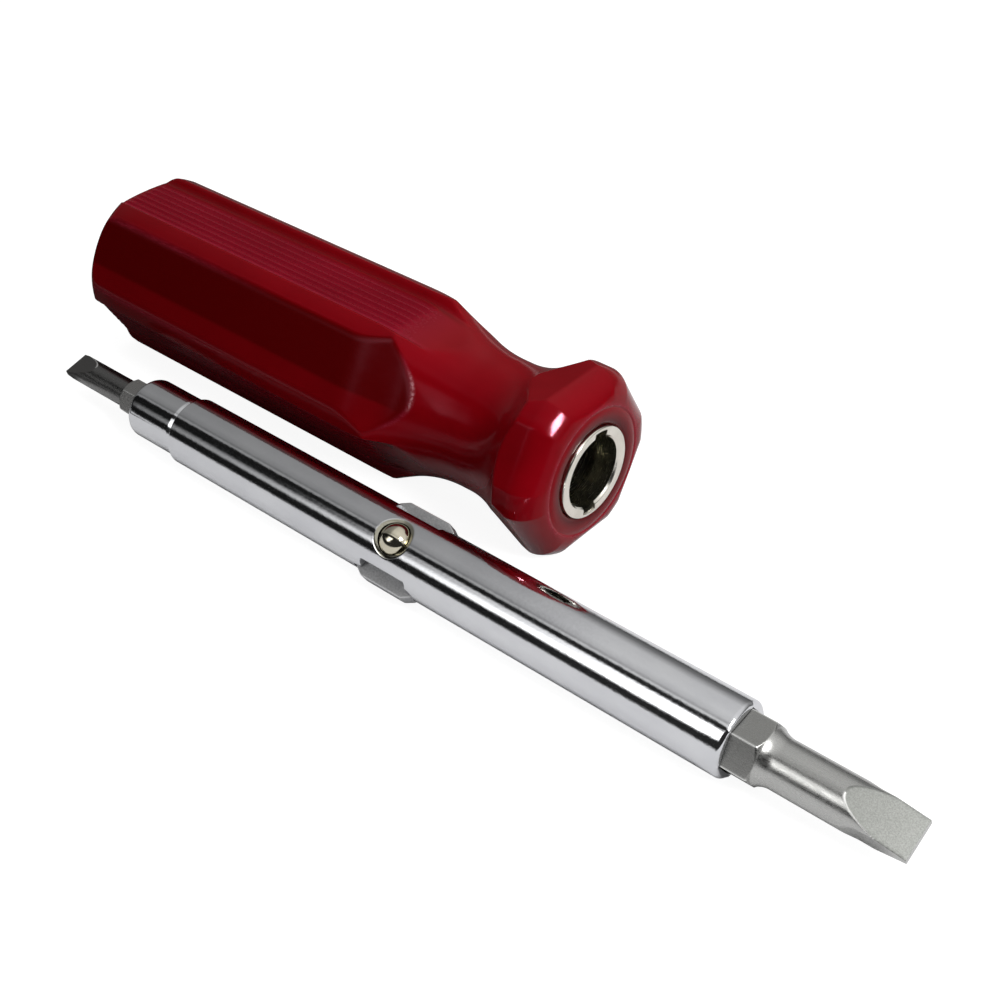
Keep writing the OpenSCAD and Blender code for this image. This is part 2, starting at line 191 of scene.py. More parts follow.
def turn_about_x(reach: Array, radius: Array, angle: Array, centre: Sequence[float]) -> Array:
    """Points at a radius and an angle about an axis that runs along X.

    The angle starts at +Y and grows towards +Z.

    Args:
        reach: Stations along the axis.
        radius: Distances from the axis.
        angle: Angles in degrees.
        centre: Point that the axis starts from.

    Returns:
        Points with a last axis of three.
    """
    reach, radius, angle = np.broadcast_arrays(reach, radius, angle)
    return np.stack([centre[0] + reach, centre[1] + radius * cosd(angle), centre[2] + radius * sind(angle)], -1)


def polar(points: Array, centre: Sequence[float]) -> Polar:
    """Stations, radii and angles of points, as turn_about_x undone.

    Args:
        points: Points by three.
        centre: Point that the axis starts from.

    Returns:
        Stations, radii and angles in degrees.
    """
    off = points - np.array(centre)
    return off[:, 0], np.hypot(off[:, 1], off[:, 2]), np.degrees(np.arctan2(off[:, 2], off[:, 1]))


def square_to(axis: Array) -> tuple[Array, Array]:
    """Two unit vectors square to an axis and to each other, from its cross product with X.

    Args:
        axis: Unit vector that doesn't lie along X.

    Returns:
        Both vectors.
    """
    side = np.cross(axis, [1.0, 0.0, 0.0])
    side /= np.linalg.norm(side)
    return side, np.cross(axis, side)


class Builder:
    """Turns rings of points into closed meshes."""

    @staticmethod
    def skin(rings: Array, loop: bool) -> tuple[Array, list[list[int]]]:
        """Quads between neighbouring rings, closed round each ring.

        Which way they face is the sign of their volume, the sum of each corner times the cross product of the next
        two.

        Args:
            rings: Points as rings by places by three.
            loop: Whether the last ring joins the first; else each end gets a point at its ring's middle.

        Returns:
            Vertices and faces, turned so that the faces point outwards.
        """
        count, places = rings.shape[:2]
        index = np.arange(count * places).reshape(count, places)
        after = np.roll(index, -1, 0) if loop else index[1:]
        before = index if loop else index[:-1]
        quads = np.stack([before, np.roll(before, -1, 1), np.roll(after, -1, 1), after], -1).reshape(-1, 4)
        points = rings.reshape(-1, 3)
        faces = quads.tolist()
        if not loop:
            poles = rings[[0, -1]].mean(1)
            points = np.concatenate([points, poles])
            near, far = count * places, count * places + 1
            first, last = index[0], index[-1]
            faces += np.stack([np.full(places, near), np.roll(first, -1), first], -1).tolist()
            faces += np.stack([np.full(places, far), last, np.roll(last, -1)], -1).tolist()
        corner = (points - points.mean(0))[quads]
        volume = np.einsum("ij,ij->i", corner[:, 0], np.cross(corner[:, 1], corner[:, 2])).sum()
        volume += np.einsum("ij,ij->i", corner[:, 0], np.cross(corner[:, 2], corner[:, 3])).sum()
        if volume < 0:
            faces = [face[::-1] for face in faces]
        return points, faces

    @staticmethod
    def smooth(mesh: bpy.types.Mesh, crease: float) -> None:
        """Shades a mesh smooth but for edges past the crease angle, in degrees."""
        mesh.shade_smooth()
        mesh.set_sharp_from_angle(angle=math.radians(crease))

    @classmethod
    def place(cls, name: str, points: Array, faces: list[list[int]], crease: float = 35.0) -> bpy.types.Object:
        """Writes points and faces to a new object at the origin.

        Args:
            name: Name of the piece.
            points: Vertices in millimetres.
            faces: Vertex numbers of each face.
            crease: Angle between faces past which an edge stays sharp, in degrees.

        Returns:
            The new object, linked to the scene.
        """
        mesh = bpy.data.meshes.new(name)
        mesh.from_pydata((points * MM).tolist(), [], faces)
        mesh.validate()
        cls.smooth(mesh, crease)
        piece = bpy.data.objects.new(name, mesh)
        bpy.context.scene.collection.objects.link(piece)
        return piece

    @classmethod
    def rings(cls, name: str, rings: Array, loop: bool = False, crease: float = 35.0) -> bpy.types.Object:
        """A piece from its rings of points."""
        return cls.place(name, *cls.skin(rings, loop), crease)

    @staticmethod
    def clean(mesh: bpy.types.Mesh) -> None:
        """Splits a carved mesh's many-sided faces and drops faces and edges of no size.

        Args:
            mesh: Carved mesh, changed in place.
        """
        shell = bmesh.new()
        shell.from_mesh(mesh)
        many = [face for face in shell.faces if len(face.verts) > 4]
        bmesh.ops.triangulate(shell, faces=many, ngon_method="BEAUTY")
        bmesh.ops.dissolve_degenerate(shell, dist=SHORTEST_EDGE, edges=shell.edges)
        shell.to_mesh(mesh)
        shell.free()

    @classmethod
    def carve(cls, piece: bpy.types.Object, cutters: Sequence[bpy.types.Object], crease: float) -> None:
        """Takes the cutters out of a piece and removes them.

        Args:
            piece: Object whose mesh is replaced by the carved one.
            cutters: Closed objects to take away.
            crease: Angle past which the carved mesh's edges stay sharp, in degrees.
        """
        for cutter in cutters:
            step = piece.modifiers.new("carve", "BOOLEAN")
            step.operation = "DIFFERENCE"
            step.solver = "EXACT"
            step.object = cutter
        graph = bpy.context.evaluated_depsgraph_get()
        carved = bpy.data.meshes.new_from_object(piece.evaluated_get(graph))
        piece.modifiers.clear()
        cls.clean(carved)
        whole, piece.data = piece.data, carved
        carved.name = piece.name
        cls.smooth(carved, crease)
        bpy.data.meshes.remove(whole)
        for cutter in cutters:
            bpy.data.objects.remove(cutter)

    @staticmethod
    def points_of(piece: bpy.types.Object) -> Array:
        """Reads a piece's vertices.

        Args:
            piece: Finished object.

        Returns:
            Points by three, in millimetres.
        """
        co = np.empty(len(piece.data.vertices) * 3, np.float32)
        piece.data.vertices.foreach_get("co", co)
        return co.reshape(-1, 3).astype(float) / MM

    @staticmethod
    def mark(piece: bpy.types.Object, name: str, values: Array) -> None:
        """Writes one number per vertex for the material to read."""
        layer = piece.data.attributes.new(name, "FLOAT", "POINT")
        layer.data.foreach_set("value", np.clip(values, 0.0, 1.0).astype(np.float32))


# Finishes


@dataclass(frozen=True)
class Noise:
    """A noise pattern, with its cells per metre along each axis."""

    cells: tuple[float, float, float]
    detail: float = 3.0
    rough: float = 0.55


class Graph:
    """Node tree of a material or of the room, with short ways to add what its look needs."""

    def __init__(self, tree: bpy.types.NodeTree, place: str) -> None:
        """Takes a node tree and names the coordinates that its patterns lie on."""
        self.nodes, self.links = tree.nodes, tree.links
        self.place = self.nodes.new("ShaderNodeTexCoord").outputs[place]

    def feed(self, socket: Socket, value: object) -> None:
        """Gives an input another node's output, or else a number, a colour or a vector.

        Args:
            socket: Input to fill.
            value: What it gets.
        """
        if isinstance(value, bpy.types.NodeSocket):
            self.links.new(value, socket)
        else:
            socket.default_value = value

    def node(self, kind: str, **inputs: object) -> bpy.types.Node:
        """Adds a node and fills its inputs.

        Args:
            kind: Blender's node type.
            inputs: Values by socket name, with _ for a space.

        Returns:
            The new node.
        """
        made = self.nodes.new(kind)
        for name, value in inputs.items():
            self.feed(made.inputs[name.replace("_", " ")], value)
        return made

    def split(self) -> tuple[Socket, Socket, Socket]:
        """The X, Y and Z of the place."""
        made = self.node("ShaderNodeSeparateXYZ", Vector=self.place)
        return made.outputs["X"], made.outputs["Y"], made.outputs["Z"]

    def noise(self, noise: Noise) -> Socket:
        """Adds a noise pattern.

        Args:
            noise: Its sizes.

        Returns:
            Its value from 0 to 1.
        """
        mapping = self.node("ShaderNodeMapping", Vector=self.place, Scale=noise.cells)
        made = self.node("ShaderNodeTexNoise", Vector=mapping.outputs[0], Scale=1.0, Detail=noise.detail,
                         Roughness=noise.rough)
        return made.outputs["Fac"]

    def span(self, value: Socket, source: Span, target: Span) -> Socket:
        """Maps one range of a value evenly to another, clamped.

        Args:
            value: Value to map.
            source: Its low and high end.
            target: What they become.

        Returns:
            The mapped value.
        """
        made = self.node("ShaderNodeMapRange", Value=value, From_Min=source[0], From_Max=source[1],
                         To_Min=target[0], To_Max=target[1])
        return made.outputs[0]

    def math(self, operation: str, first: object, *rest: object) -> Socket:
        """Runs an arithmetic step on two values, then on the result and each further value.

        Args:
            operation: Blender's name of the step.
            first: First value.
            rest: The other values, in order.

        Returns:
            The last result.
        """
        for value in rest:
            made = self.nodes.new("ShaderNodeMath")
            made.operation = operation
            self.feed(made.inputs[0], first)
            self.feed(made.inputs[1], value)
            first = made.outputs[0]
        return first

    def mix(self, share: object, a: object, b: object) -> Socket:
        """Mixes two colours by a share.

        Args:
            share: 0 for the first colour, 1 for the second.
            a: First colour.
            b: Second colour.

        Returns:
            The mixed colour.
        """
        made = self.nodes.new("ShaderNodeMix")
        made.data_type = "RGBA"
        self.feed(made.inputs[0], share)
        for number, value in ((6, a), (7, b)):
            self.feed(made.inputs[number], (*value, 1.0) if isinstance(value, tuple) else value)
        return made.outputs[2]

    def attribute(self, name: str) -> Socket:
        """Reads one of the piece's own numbers per vertex.

        Args:
            name: Name of the attribute.

        Returns:
            Its value.
        """
        made = self.nodes.new("ShaderNodeAttribute")
        made.attribute_name = name
        return made.outputs["Fac"]

    def ramp(self, value: Socket, ends: Span, stops: Stops) -> Socket:
        """Adds a brightness that runs evenly between its stops.

        Args:
            value: Value that the brightness follows.
            ends: Lowest and highest value.
            stops: Value and brightness of each stop.

        Returns:
            The brightness.
        """
        low, run = ends[0], ends[1] - ends[0]
        made = self.nodes.new("ShaderNodeValToRGB")
        points = made.color_ramp.elements
        while len(points) < len(stops):
            points.new(1.0)
        for point, (where, bright) in zip(points, stops):
            point.position = (where - low) / run
            point.color = (bright, bright, bright, 1.0)
        self.feed(made.inputs[0], self.math("DIVIDE", self.math("SUBTRACT", value, low), run))
        return made.outputs[0]


class Shading(Graph):
    """Node tree of one material on the piece's own coordinates."""

    def __init__(self, name: str) -> None:
        """Starts a material with one surface shader.

        Args:
            name: Name of the material.
        """
        self.material = bpy.data.materials.new(name)
        self.material.use_nodes = True
        super().__init__(self.material.node_tree, "Object")
        self.surface = self.nodes["Principled BSDF"]

    def set(self, **sockets: object) -> None:
        """Sets constant values on the surface shader, with _ for a space in a socket's name."""
        for name, value in sockets.items():
            self.surface.inputs[name.replace("_", " ")].default_value = value

    def bump(self, *layers: tuple[Socket, Span]) -> None:
        """Stacks height layers on the surface's normal.

        Args:
            layers: Each a value with its strength and its depth in metres.
        """
        normal = None
        for height, (strength, depth) in layers:
            made = self.node("ShaderNodeBump", Height=height, Strength=strength, Distance=depth)
            if normal is not None:
                self.links.new(normal, made.inputs["Normal"])
            normal = made.outputs[0]
        self.links.new(normal, self.surface.inputs["Normal"])

    def cover(self, colour: Socket, roughness: Socket) -> None:
        """Feeds the surface's base colour and its roughness."""
        self.links.new(colour, self.surface.inputs["Base Color"])
        self.links.new(roughness, self.surface.inputs["Roughness"])


@dataclass(frozen=True)
class RedPlastic:
    """Clear-toned red moulded plastic with painted light: a lit red on the ridges is painted glow, the deep red on
    the flats is painted shade, the ribbed channels are paler and rougher, edges are partly rubbed and partly painted
    sheen, and the run-out rims carry scratches with a pale painted highlight.
    """

    # The deep red and the glow red are shaded and lit copies of one red: painted shade on the flats, painted glow on
    # the ridges.
    deep: Colour = (0.085, 0.0003, 0.0006)
    glow: Colour = (0.22, 0.001, 0.0045)
    ribbed: Colour = (0.2, 0.003, 0.012)
    # Pink for the edges, partly rubbed wear and partly painted sheen; the pale pink after it is scratches with a
    # painted highlight.
    rubbed_and_sheen: Colour = (0.32, 0.02, 0.042)
    scratch_and_highlight: Colour = (0.6, 0.3, 0.32)
    index: float = 1.45
    gloss: float = 0.16
    sheen: Colour = (1.0, 0.33, 0.45)
    cloud: Noise = Noise((90, 160, 160), 4.0)
    cloud_range: Span = (0.35, 0.7)
    cloud_share: Span = (0.0, 0.22)
    scuff: Noise = Noise((600, 5200, 5200), 5.0, 0.7)
    scuff_range: Span = (0.42, 0.66)
    scuff_share: Span = (0.25, 0.75)
    grain: Noise = Noise((2600, 2600, 2600))
    chafe_range: Span = (0.4, 0.6)
    chafe_share: Span = (0.15, 0.9)
    rough_range: Span = (0.3, 0.75)
    rough: Span = (0.09, 0.19)
    rib_rough: float = 0.16
    scuff_rough: float = 0.3
    grain_bump: Span = (0.05, 0.00003)
    cloud_bump: Span = (0.12, 0.0003)
    scuff_bump: Span = (0.05, 0.00003)

    def make(self) -> bpy.types.Material:
        """Builds the material, which reads the attributes for painted glow and shade, the ribbed channels, rubbed
        edges with painted sheen, and the rims' scratches with a painted highlight.

        Returns:
            The new material.
        """
        s = Shading("red_plastic")
        s.set(IOR=self.index, Specular_IOR_Level=self.gloss, Specular_Tint=(*self.sheen, 1.0))
        cloud, scuff, grain = s.noise(self.cloud), s.noise(self.scuff), s.noise(self.grain)
        ribbed = s.attribute("ribbed")
        # Painted glow and shade: the glow attribute takes the deep red towards the lit red.
        base = s.mix(s.attribute("glow"), self.deep, self.glow)
        base = s.mix(ribbed, base, self.ribbed)
        base = s.mix(s.span(cloud, self.cloud_range, self.cloud_share), base, self.deep)
        # Edges partly rubbed and partly painted sheen, broken up by scuffs; then scratches with a painted highlight
        # on the run-out rims.
        wear_and_sheen = s.math("MULTIPLY", s.attribute("edge"), s.span(scuff, self.scuff_range, self.scuff_share))
        scratch_and_highlight = s.math("MULTIPLY", s.attribute("scratch_and_highlight"), s.span(grain, self.chafe_range, self.chafe_share))
        rough = s.span(grain, self.rough_range, self.rough)
        rough = s.math("ADD", rough, s.math("MULTIPLY", ribbed, self.rib_rough),
                       s.math("MULTIPLY", wear_and_sheen, self.scuff_rough))
        s.cover(s.mix(scratch_and_highlight, s.mix(wear_and_sheen, base, self.rubbed_and_sheen), self.scratch_and_highlight), rough)
        s.bump((grain, self.grain_bump), (cloud, self.cloud_bump), (scuff, self.scuff_bump))
        return s.material


@dataclass(frozen=True)
class Plated:
    """Plated or polished metal with lines from polishing and small clouds in the plate.

    Where a piece has the shade attribute, the colour is mixed towards the shadow colour as painted shade, deep in a
    bore and in the ball's seat, and the surface is a little rougher.
    """

    name: str
    light: Colour
    dark: Colour
    rough: Span
    lines: Noise
    line_bump: Span = (0.08, 0.00002)
    shadow: Colour = (0.4, 0.385, 0.31)
    line_range: Span = (0.3, 0.72)
    cloud: Noise = Noise((140, 320, 320), 4.0)
    cloud_range: Span = (0.35, 0.7)
    haze_range: Span = (0.5, 0.8)
    haze_rough: Span = (0.0, 0.03)
    shade_rough: float = 0.05
    cloud_bump: Span = (0.03, 0.0002)

    def make(self) -> bpy.types.Material:
        """Builds the material, which reads the attribute for painted shade.

        Returns:
            The new material.
        """
        s = Shading(self.name)
        s.set(Metallic=1.0)
        cloud, line, painted_shade = s.noise(self.cloud), s.noise(self.lines), s.attribute("painted_shade")
        base = s.mix(s.span(cloud, self.cloud_range, (0.0, 1.0)), self.light, self.dark)
        rough = s.span(line, self.line_range, self.rough)
        rough = s.math("ADD", rough, s.math("MULTIPLY", painted_shade, self.shade_rough),
                       s.span(cloud, self.haze_range, self.haze_rough))
        # Painted shade: the colour goes towards the shadow colour.
        s.cover(s.mix(painted_shade, base, self.shadow), rough)
        s.bump((line, self.line_bump), (cloud, self.cloud_bump))
        return s.material


@dataclass(frozen=True)
class StampedSteel:
    """Matte stamped steel with a tumbled grain and bright rubbed edges."""

    light: Colour = (0.46, 0.46, 0.465)
    dark: Colour = (0.27, 0.27, 0.275)
    rubbed_and_sheen: Colour = (0.72, 0.72, 0.72)
    grain: Noise = Noise((3800, 3800, 3800), 5.0, 0.7)
    grain_range: Span = (0.36, 0.66)
    cloud: Noise = Noise((420, 420, 420))
    cloud_range: Span = (0.3, 0.7)
    rough: Span = (0.44, 0.58)
    grain_bump: Span = (0.22, 0.00004)

    def make(self) -> bpy.types.Material:
        """Builds the material, which reads the attribute for rubbed edges.

        Returns:
            The new material.
        """
        s = Shading("stamped_steel")
        s.set(Metallic=1.0)
        grain, cloud = s.noise(self.grain), s.noise(self.cloud)
        base = s.mix(s.span(grain, self.grain_range, (0.0, 1.0)), self.dark, self.light)
        s.cover(s.mix(s.attribute("edge"), base, self.rubbed_and_sheen), s.span(cloud, self.cloud_range, self.rough))
        s.bump((grain, self.grain_bump))
        return s.material


@dataclass(frozen=True)
class SatinBit:
    """Satin nickel on the shank and hexagon, ground steel on the blade's faces."""

    name: str
    light: Colour
    dark: Colour
    ground: Colour
    flats: Colour
    # The near-white edge colour is partly rubbed wear and partly painted highlight.
    rubbed_and_sheen: Colour = (0.92, 0.92, 0.9)
    grain: Noise = Noise((6000, 6000, 6000), 4.0, 0.7)
    grain_range: Span = (0.36, 0.66)
    grain_share: Span = (0.35, 1.0)
    flats_range: Span = (0.36, 0.62)
    ground_range: Span = (0.38, 0.6)
    covered: Span = (0.7, 1.0)
    drawn: Noise = Noise((700, 4200, 4200), 4.0)
    drawn_range: Span = (0.3, 0.72)
    rough: Span = (0.23, 0.33)
    ground_rough: float = 0.15
    grain_bump: Span = (0.2, 0.00003)
    drawn_bump: Span = (0.08, 0.00002)

    def make(self) -> bpy.types.Material:
        """Builds the material, which reads the attributes for the ground faces, the hexagon's faces, and the rubbed
        edges with a painted highlight.

        Returns:
            The new material.
        """
        s = Shading(self.name)
        s.set(Metallic=1.0)
        grain, drawn, ground = s.noise(self.grain), s.noise(self.drawn), s.attribute("ground")
        base = s.mix(s.span(grain, self.grain_range, self.grain_share), self.dark, self.light)
        flats = s.math("MULTIPLY", s.attribute("hexagon"), s.span(grain, self.flats_range, self.covered))
        base = s.mix(flats, base, self.flats)
        base = s.mix(s.math("MULTIPLY", ground, s.span(grain, self.ground_range, self.covered)), base, self.ground)
        rough = s.span(drawn, self.drawn_range, self.rough)
        rough = s.math("ADD", rough, s.math("MULTIPLY", ground, self.ground_rough))
        s.cover(s.mix(s.attribute("edge"), base, self.rubbed_and_sheen), rough)
        s.bump((grain, self.grain_bump), (drawn, self.drawn_bump))
        return s.material


CHROME = Plated("tube_chrome", (0.65, 0.655, 0.67), (0.59, 0.595, 0.615), (0.04, 0.12),
                Noise((1500, 3000, 3000), 4.0, 0.65), line_bump=(0.35, 0.00002))
NICKEL = Plated("liner_nickel", (0.74, 0.71, 0.64), (0.62, 0.59, 0.52), (0.12, 0.26),
                Noise((5200, 500, 500), 4.0, 0.65))
BEARING = Plated("ball_steel", (0.62, 0.58, 0.46), (0.54, 0.5, 0.4), (0.06, 0.13),
                 Noise((2200, 2200, 2200), 4.0, 0.65), line_bump=(0.03, 0.00002))
WIRE = Plated("spring_wire", (0.52, 0.52, 0.54), (0.38, 0.38, 0.4), (0.2, 0.34),
              Noise((2600, 2600, 2600), 4.0, 0.65))
LARGE_SATIN = SatinBit("large_satin", light=(0.47, 0.47, 0.455), dark=(0.35, 0.35, 0.34),
                       ground=(0.165, 0.17, 0.158), flats=(0.24, 0.24, 0.23))
# The small bit's satin steel is painted darker than the large bit's, as painted shade at the small end.
SHADED_SMALL_SATIN = SatinBit("small_satin_shaded", light=(0.2, 0.197, 0.193), dark=(0.11, 0.108, 0.106),
                       ground=(0.15, 0.145, 0.14), flats=(0.33, 0.325, 0.315))


# Pieces


class Piece:
    """What every sub-assembly does with a finished piece."""

    @staticmethod
    def join(piece: bpy.types.Object, body: str, node: str, slot: Slot, material: bpy.types.Material) -> None:
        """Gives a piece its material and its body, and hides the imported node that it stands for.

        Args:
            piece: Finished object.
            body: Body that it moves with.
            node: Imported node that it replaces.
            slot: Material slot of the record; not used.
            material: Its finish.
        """
        piece.data.materials.clear()
        piece.data.materials.append(material)
        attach(piece, body)
        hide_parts(node)
        LOG.info("%s: %d faces on %s", piece.name, len(piece.data.polygons), body)


@dataclass(frozen=True)
class GripLightAndWear:
    """Where the handle's plastic gets painted glow and shade, paler ribbed channels, rubbed edges with painted sheen,
    and scratches with a painted highlight.

    Spans are stations along the handle, angles from the middle of a flat or a channel, or radii.
    """

    outside: Span = (8.0, 9.0)
    grip_end: Span = (62.0, 69.0)
    raised: Span = (0.0, 0.3)
    # One side of each smooth flat is painted lighter, as light shining through the plastic.
    lit: Span = (8.0, 11.5)
    lit_level: float = 0.7
    # The flats' painted shade lightens towards the shoulder.
    flat_level: float = 0.03
    flat_gain: float = 0.09
    flat_run: Span = (10.0, 66.0)
    # Painted shade along the lobe beside each channel.
    crease_at: float = -19.5
    crease_width: float = 2.5
    crease_loss: float = 0.65
    # Painted shade on the underside.
    under_at: float = 242.0
    under_width: float = 40.0
    under_loss: float = 0.75
    # Past the shoulder the painted glow is full.
    neck_from: Span = (67.0, 70.0)
    # The painted glow is weaker towards the solid butt.
    butt_level: float = 0.72
    butt_run: Span = (0.0, 60.0)
    floor_from: Span = (-17.5, -15.5)
    floor_to: Span = (21.5, 23.0)
    ribs_from: Span = (0.3, 1.5)
    ribs_to: Span = (60.0, 68.0)
    # Painted sheen along the channels' lips.
    lip_at: float = 20.8
    lip_width: float = 1.6
    lip_level: float = 0.7
    # Painted reflection along the flats' lips near the butt.
    near_butt: Span = (10.0, 45.0)
    butt_lips: Stops = ((-23.0, 0.75), (25.5, 0.8))
    butt_lip_width: float = 1.8
    # Painted highlight on the rim where a flat runs out.
    rim_from: Span = (63.5, 65.5)
    rim_to: Span = (68.0, 69.5)
    rim_level: float = 0.9
    # A pale painted highlight with scratches on that rim.
    scratch_highlight_at: float = -6.0
    scratch_highlight_width: float = 11.0
    # Rubbed rim of the collar's front.
    front_r: float = 9.9
    front_width: float = 0.3
    front_from: Span = (92.0, 92.8)

    def glow(self, reach: Array, smooth: Array, ribbed: Array, raised: Array, on_grip: Array) -> Array:
        """Painted glow and shade: full on the ridges and least in the middle of a smooth flat, lighter on one side of
        each flat and darker beside the channels, weaker towards the butt; past the shoulder it is even.

        Args:
            reach: Stations along the handle.
            smooth: Angles from the middle of a smooth flat.
            ribbed: Angles from the middle of a ribbed channel.
            raised: 1 where the surface lies well under the flats' faces.
            on_grip: 1 on the grip, 0 past the shoulder.

        Returns:
            The level of the painted glow.
        """
        flat = self.flat_level + self.flat_gain * ease(reach, *self.flat_run)
        level = np.maximum(np.maximum(raised, self.lit_level * ease(smooth, *self.lit) * on_grip), flat)
        level = level * (1.0 - self.crease_loss * bell(ribbed, self.crease_at, self.crease_width) * on_grip)
        level = np.maximum(level, ease(reach, *self.neck_from))
        return level * (self.butt_level + (1.0 - self.butt_level) * ease(reach, *self.butt_run))

    def edge(self, reach: Array, radius: Array, smooth: Array, ribbed: Array, on_grip: Array) -> Array:
        """Painted sheen along the channels' lips and the flats' lips near the butt, and the rubbed rim of the
        collar's front.

        Args:
            reach: Stations along the handle.
            radius: Distances from its axis.
            smooth: Angles from the middle of a smooth flat.
            ribbed: Angles from the middle of a ribbed channel.
            on_grip: 1 on the grip, 0 past the shoulder.

        Returns:
            The share of painted sheen and rubbed wear.
        """
        lips = self.lip_level * bell(ribbed, self.lip_at, self.lip_width) * on_grip
        for at, level in self.butt_lips:
            lips = lips + level * bell(smooth, at, self.butt_lip_width) * fade(reach, *self.near_butt)
        return lips + bell(radius, self.front_r, self.front_width) * ease(reach, *self.front_from)

    def marks(self, reach: Array, radius: Array, angle: Array, under_flat: Array) -> dict[str, Array]:
        """All the numbers that the plastic reads, most of them painted light and shade.

        The rim of a flat's run-out is the parabola 4t(1 - t) of how raised the surface is, and it gets a painted
        highlight.

        Args:
            reach: Stations along the handle.
            radius: Distances from its axis.
            angle: Angles about its axis.
            under_flat: How far the surface lies under the flats' faces.

        Returns:
            One number per vertex for each attribute.
        """
        smooth, ribbed = wrap(angle - SMOOTH_AT, SECTOR), wrap(angle - RIBBED_AT, SECTOR)
        outside = ease(radius, *self.outside)
        on_grip = fade(reach, *self.grip_end)
        raised = ease(under_flat, *self.raised)
        # Painted shade on the underside dims the glow and the ribbed channels.
        shade_under = bell(wrap(angle - self.under_at, FULL_TURN), 0.0, self.under_width, 4) * on_grip
        shown = outside * (1.0 - self.under_loss * shade_under)
        floor = ease(ribbed, *self.floor_from) * fade(ribbed, *self.floor_to)
        # The run-out rim gets a painted highlight in the edge colour, and a paler one with scratches.
        rim = 4.0 * raised * (1.0 - raised) * ease(reach, *self.rim_from) * fade(reach, *self.rim_to)
        edge = self.edge(reach, radius, smooth, ribbed, on_grip) + self.rim_level * rim
        return {
            "glow": self.glow(reach, smooth, ribbed, raised, on_grip) * shown,
            "ribbed": floor * fade(reach, *self.ribs_to) * ease(reach, *self.ribs_from) * shown,
            "edge": edge * outside,
            "scratch_and_highlight": rim**4 * bell(smooth, self.scratch_highlight_at, self.scratch_highlight_width, 4) * outside,
        }


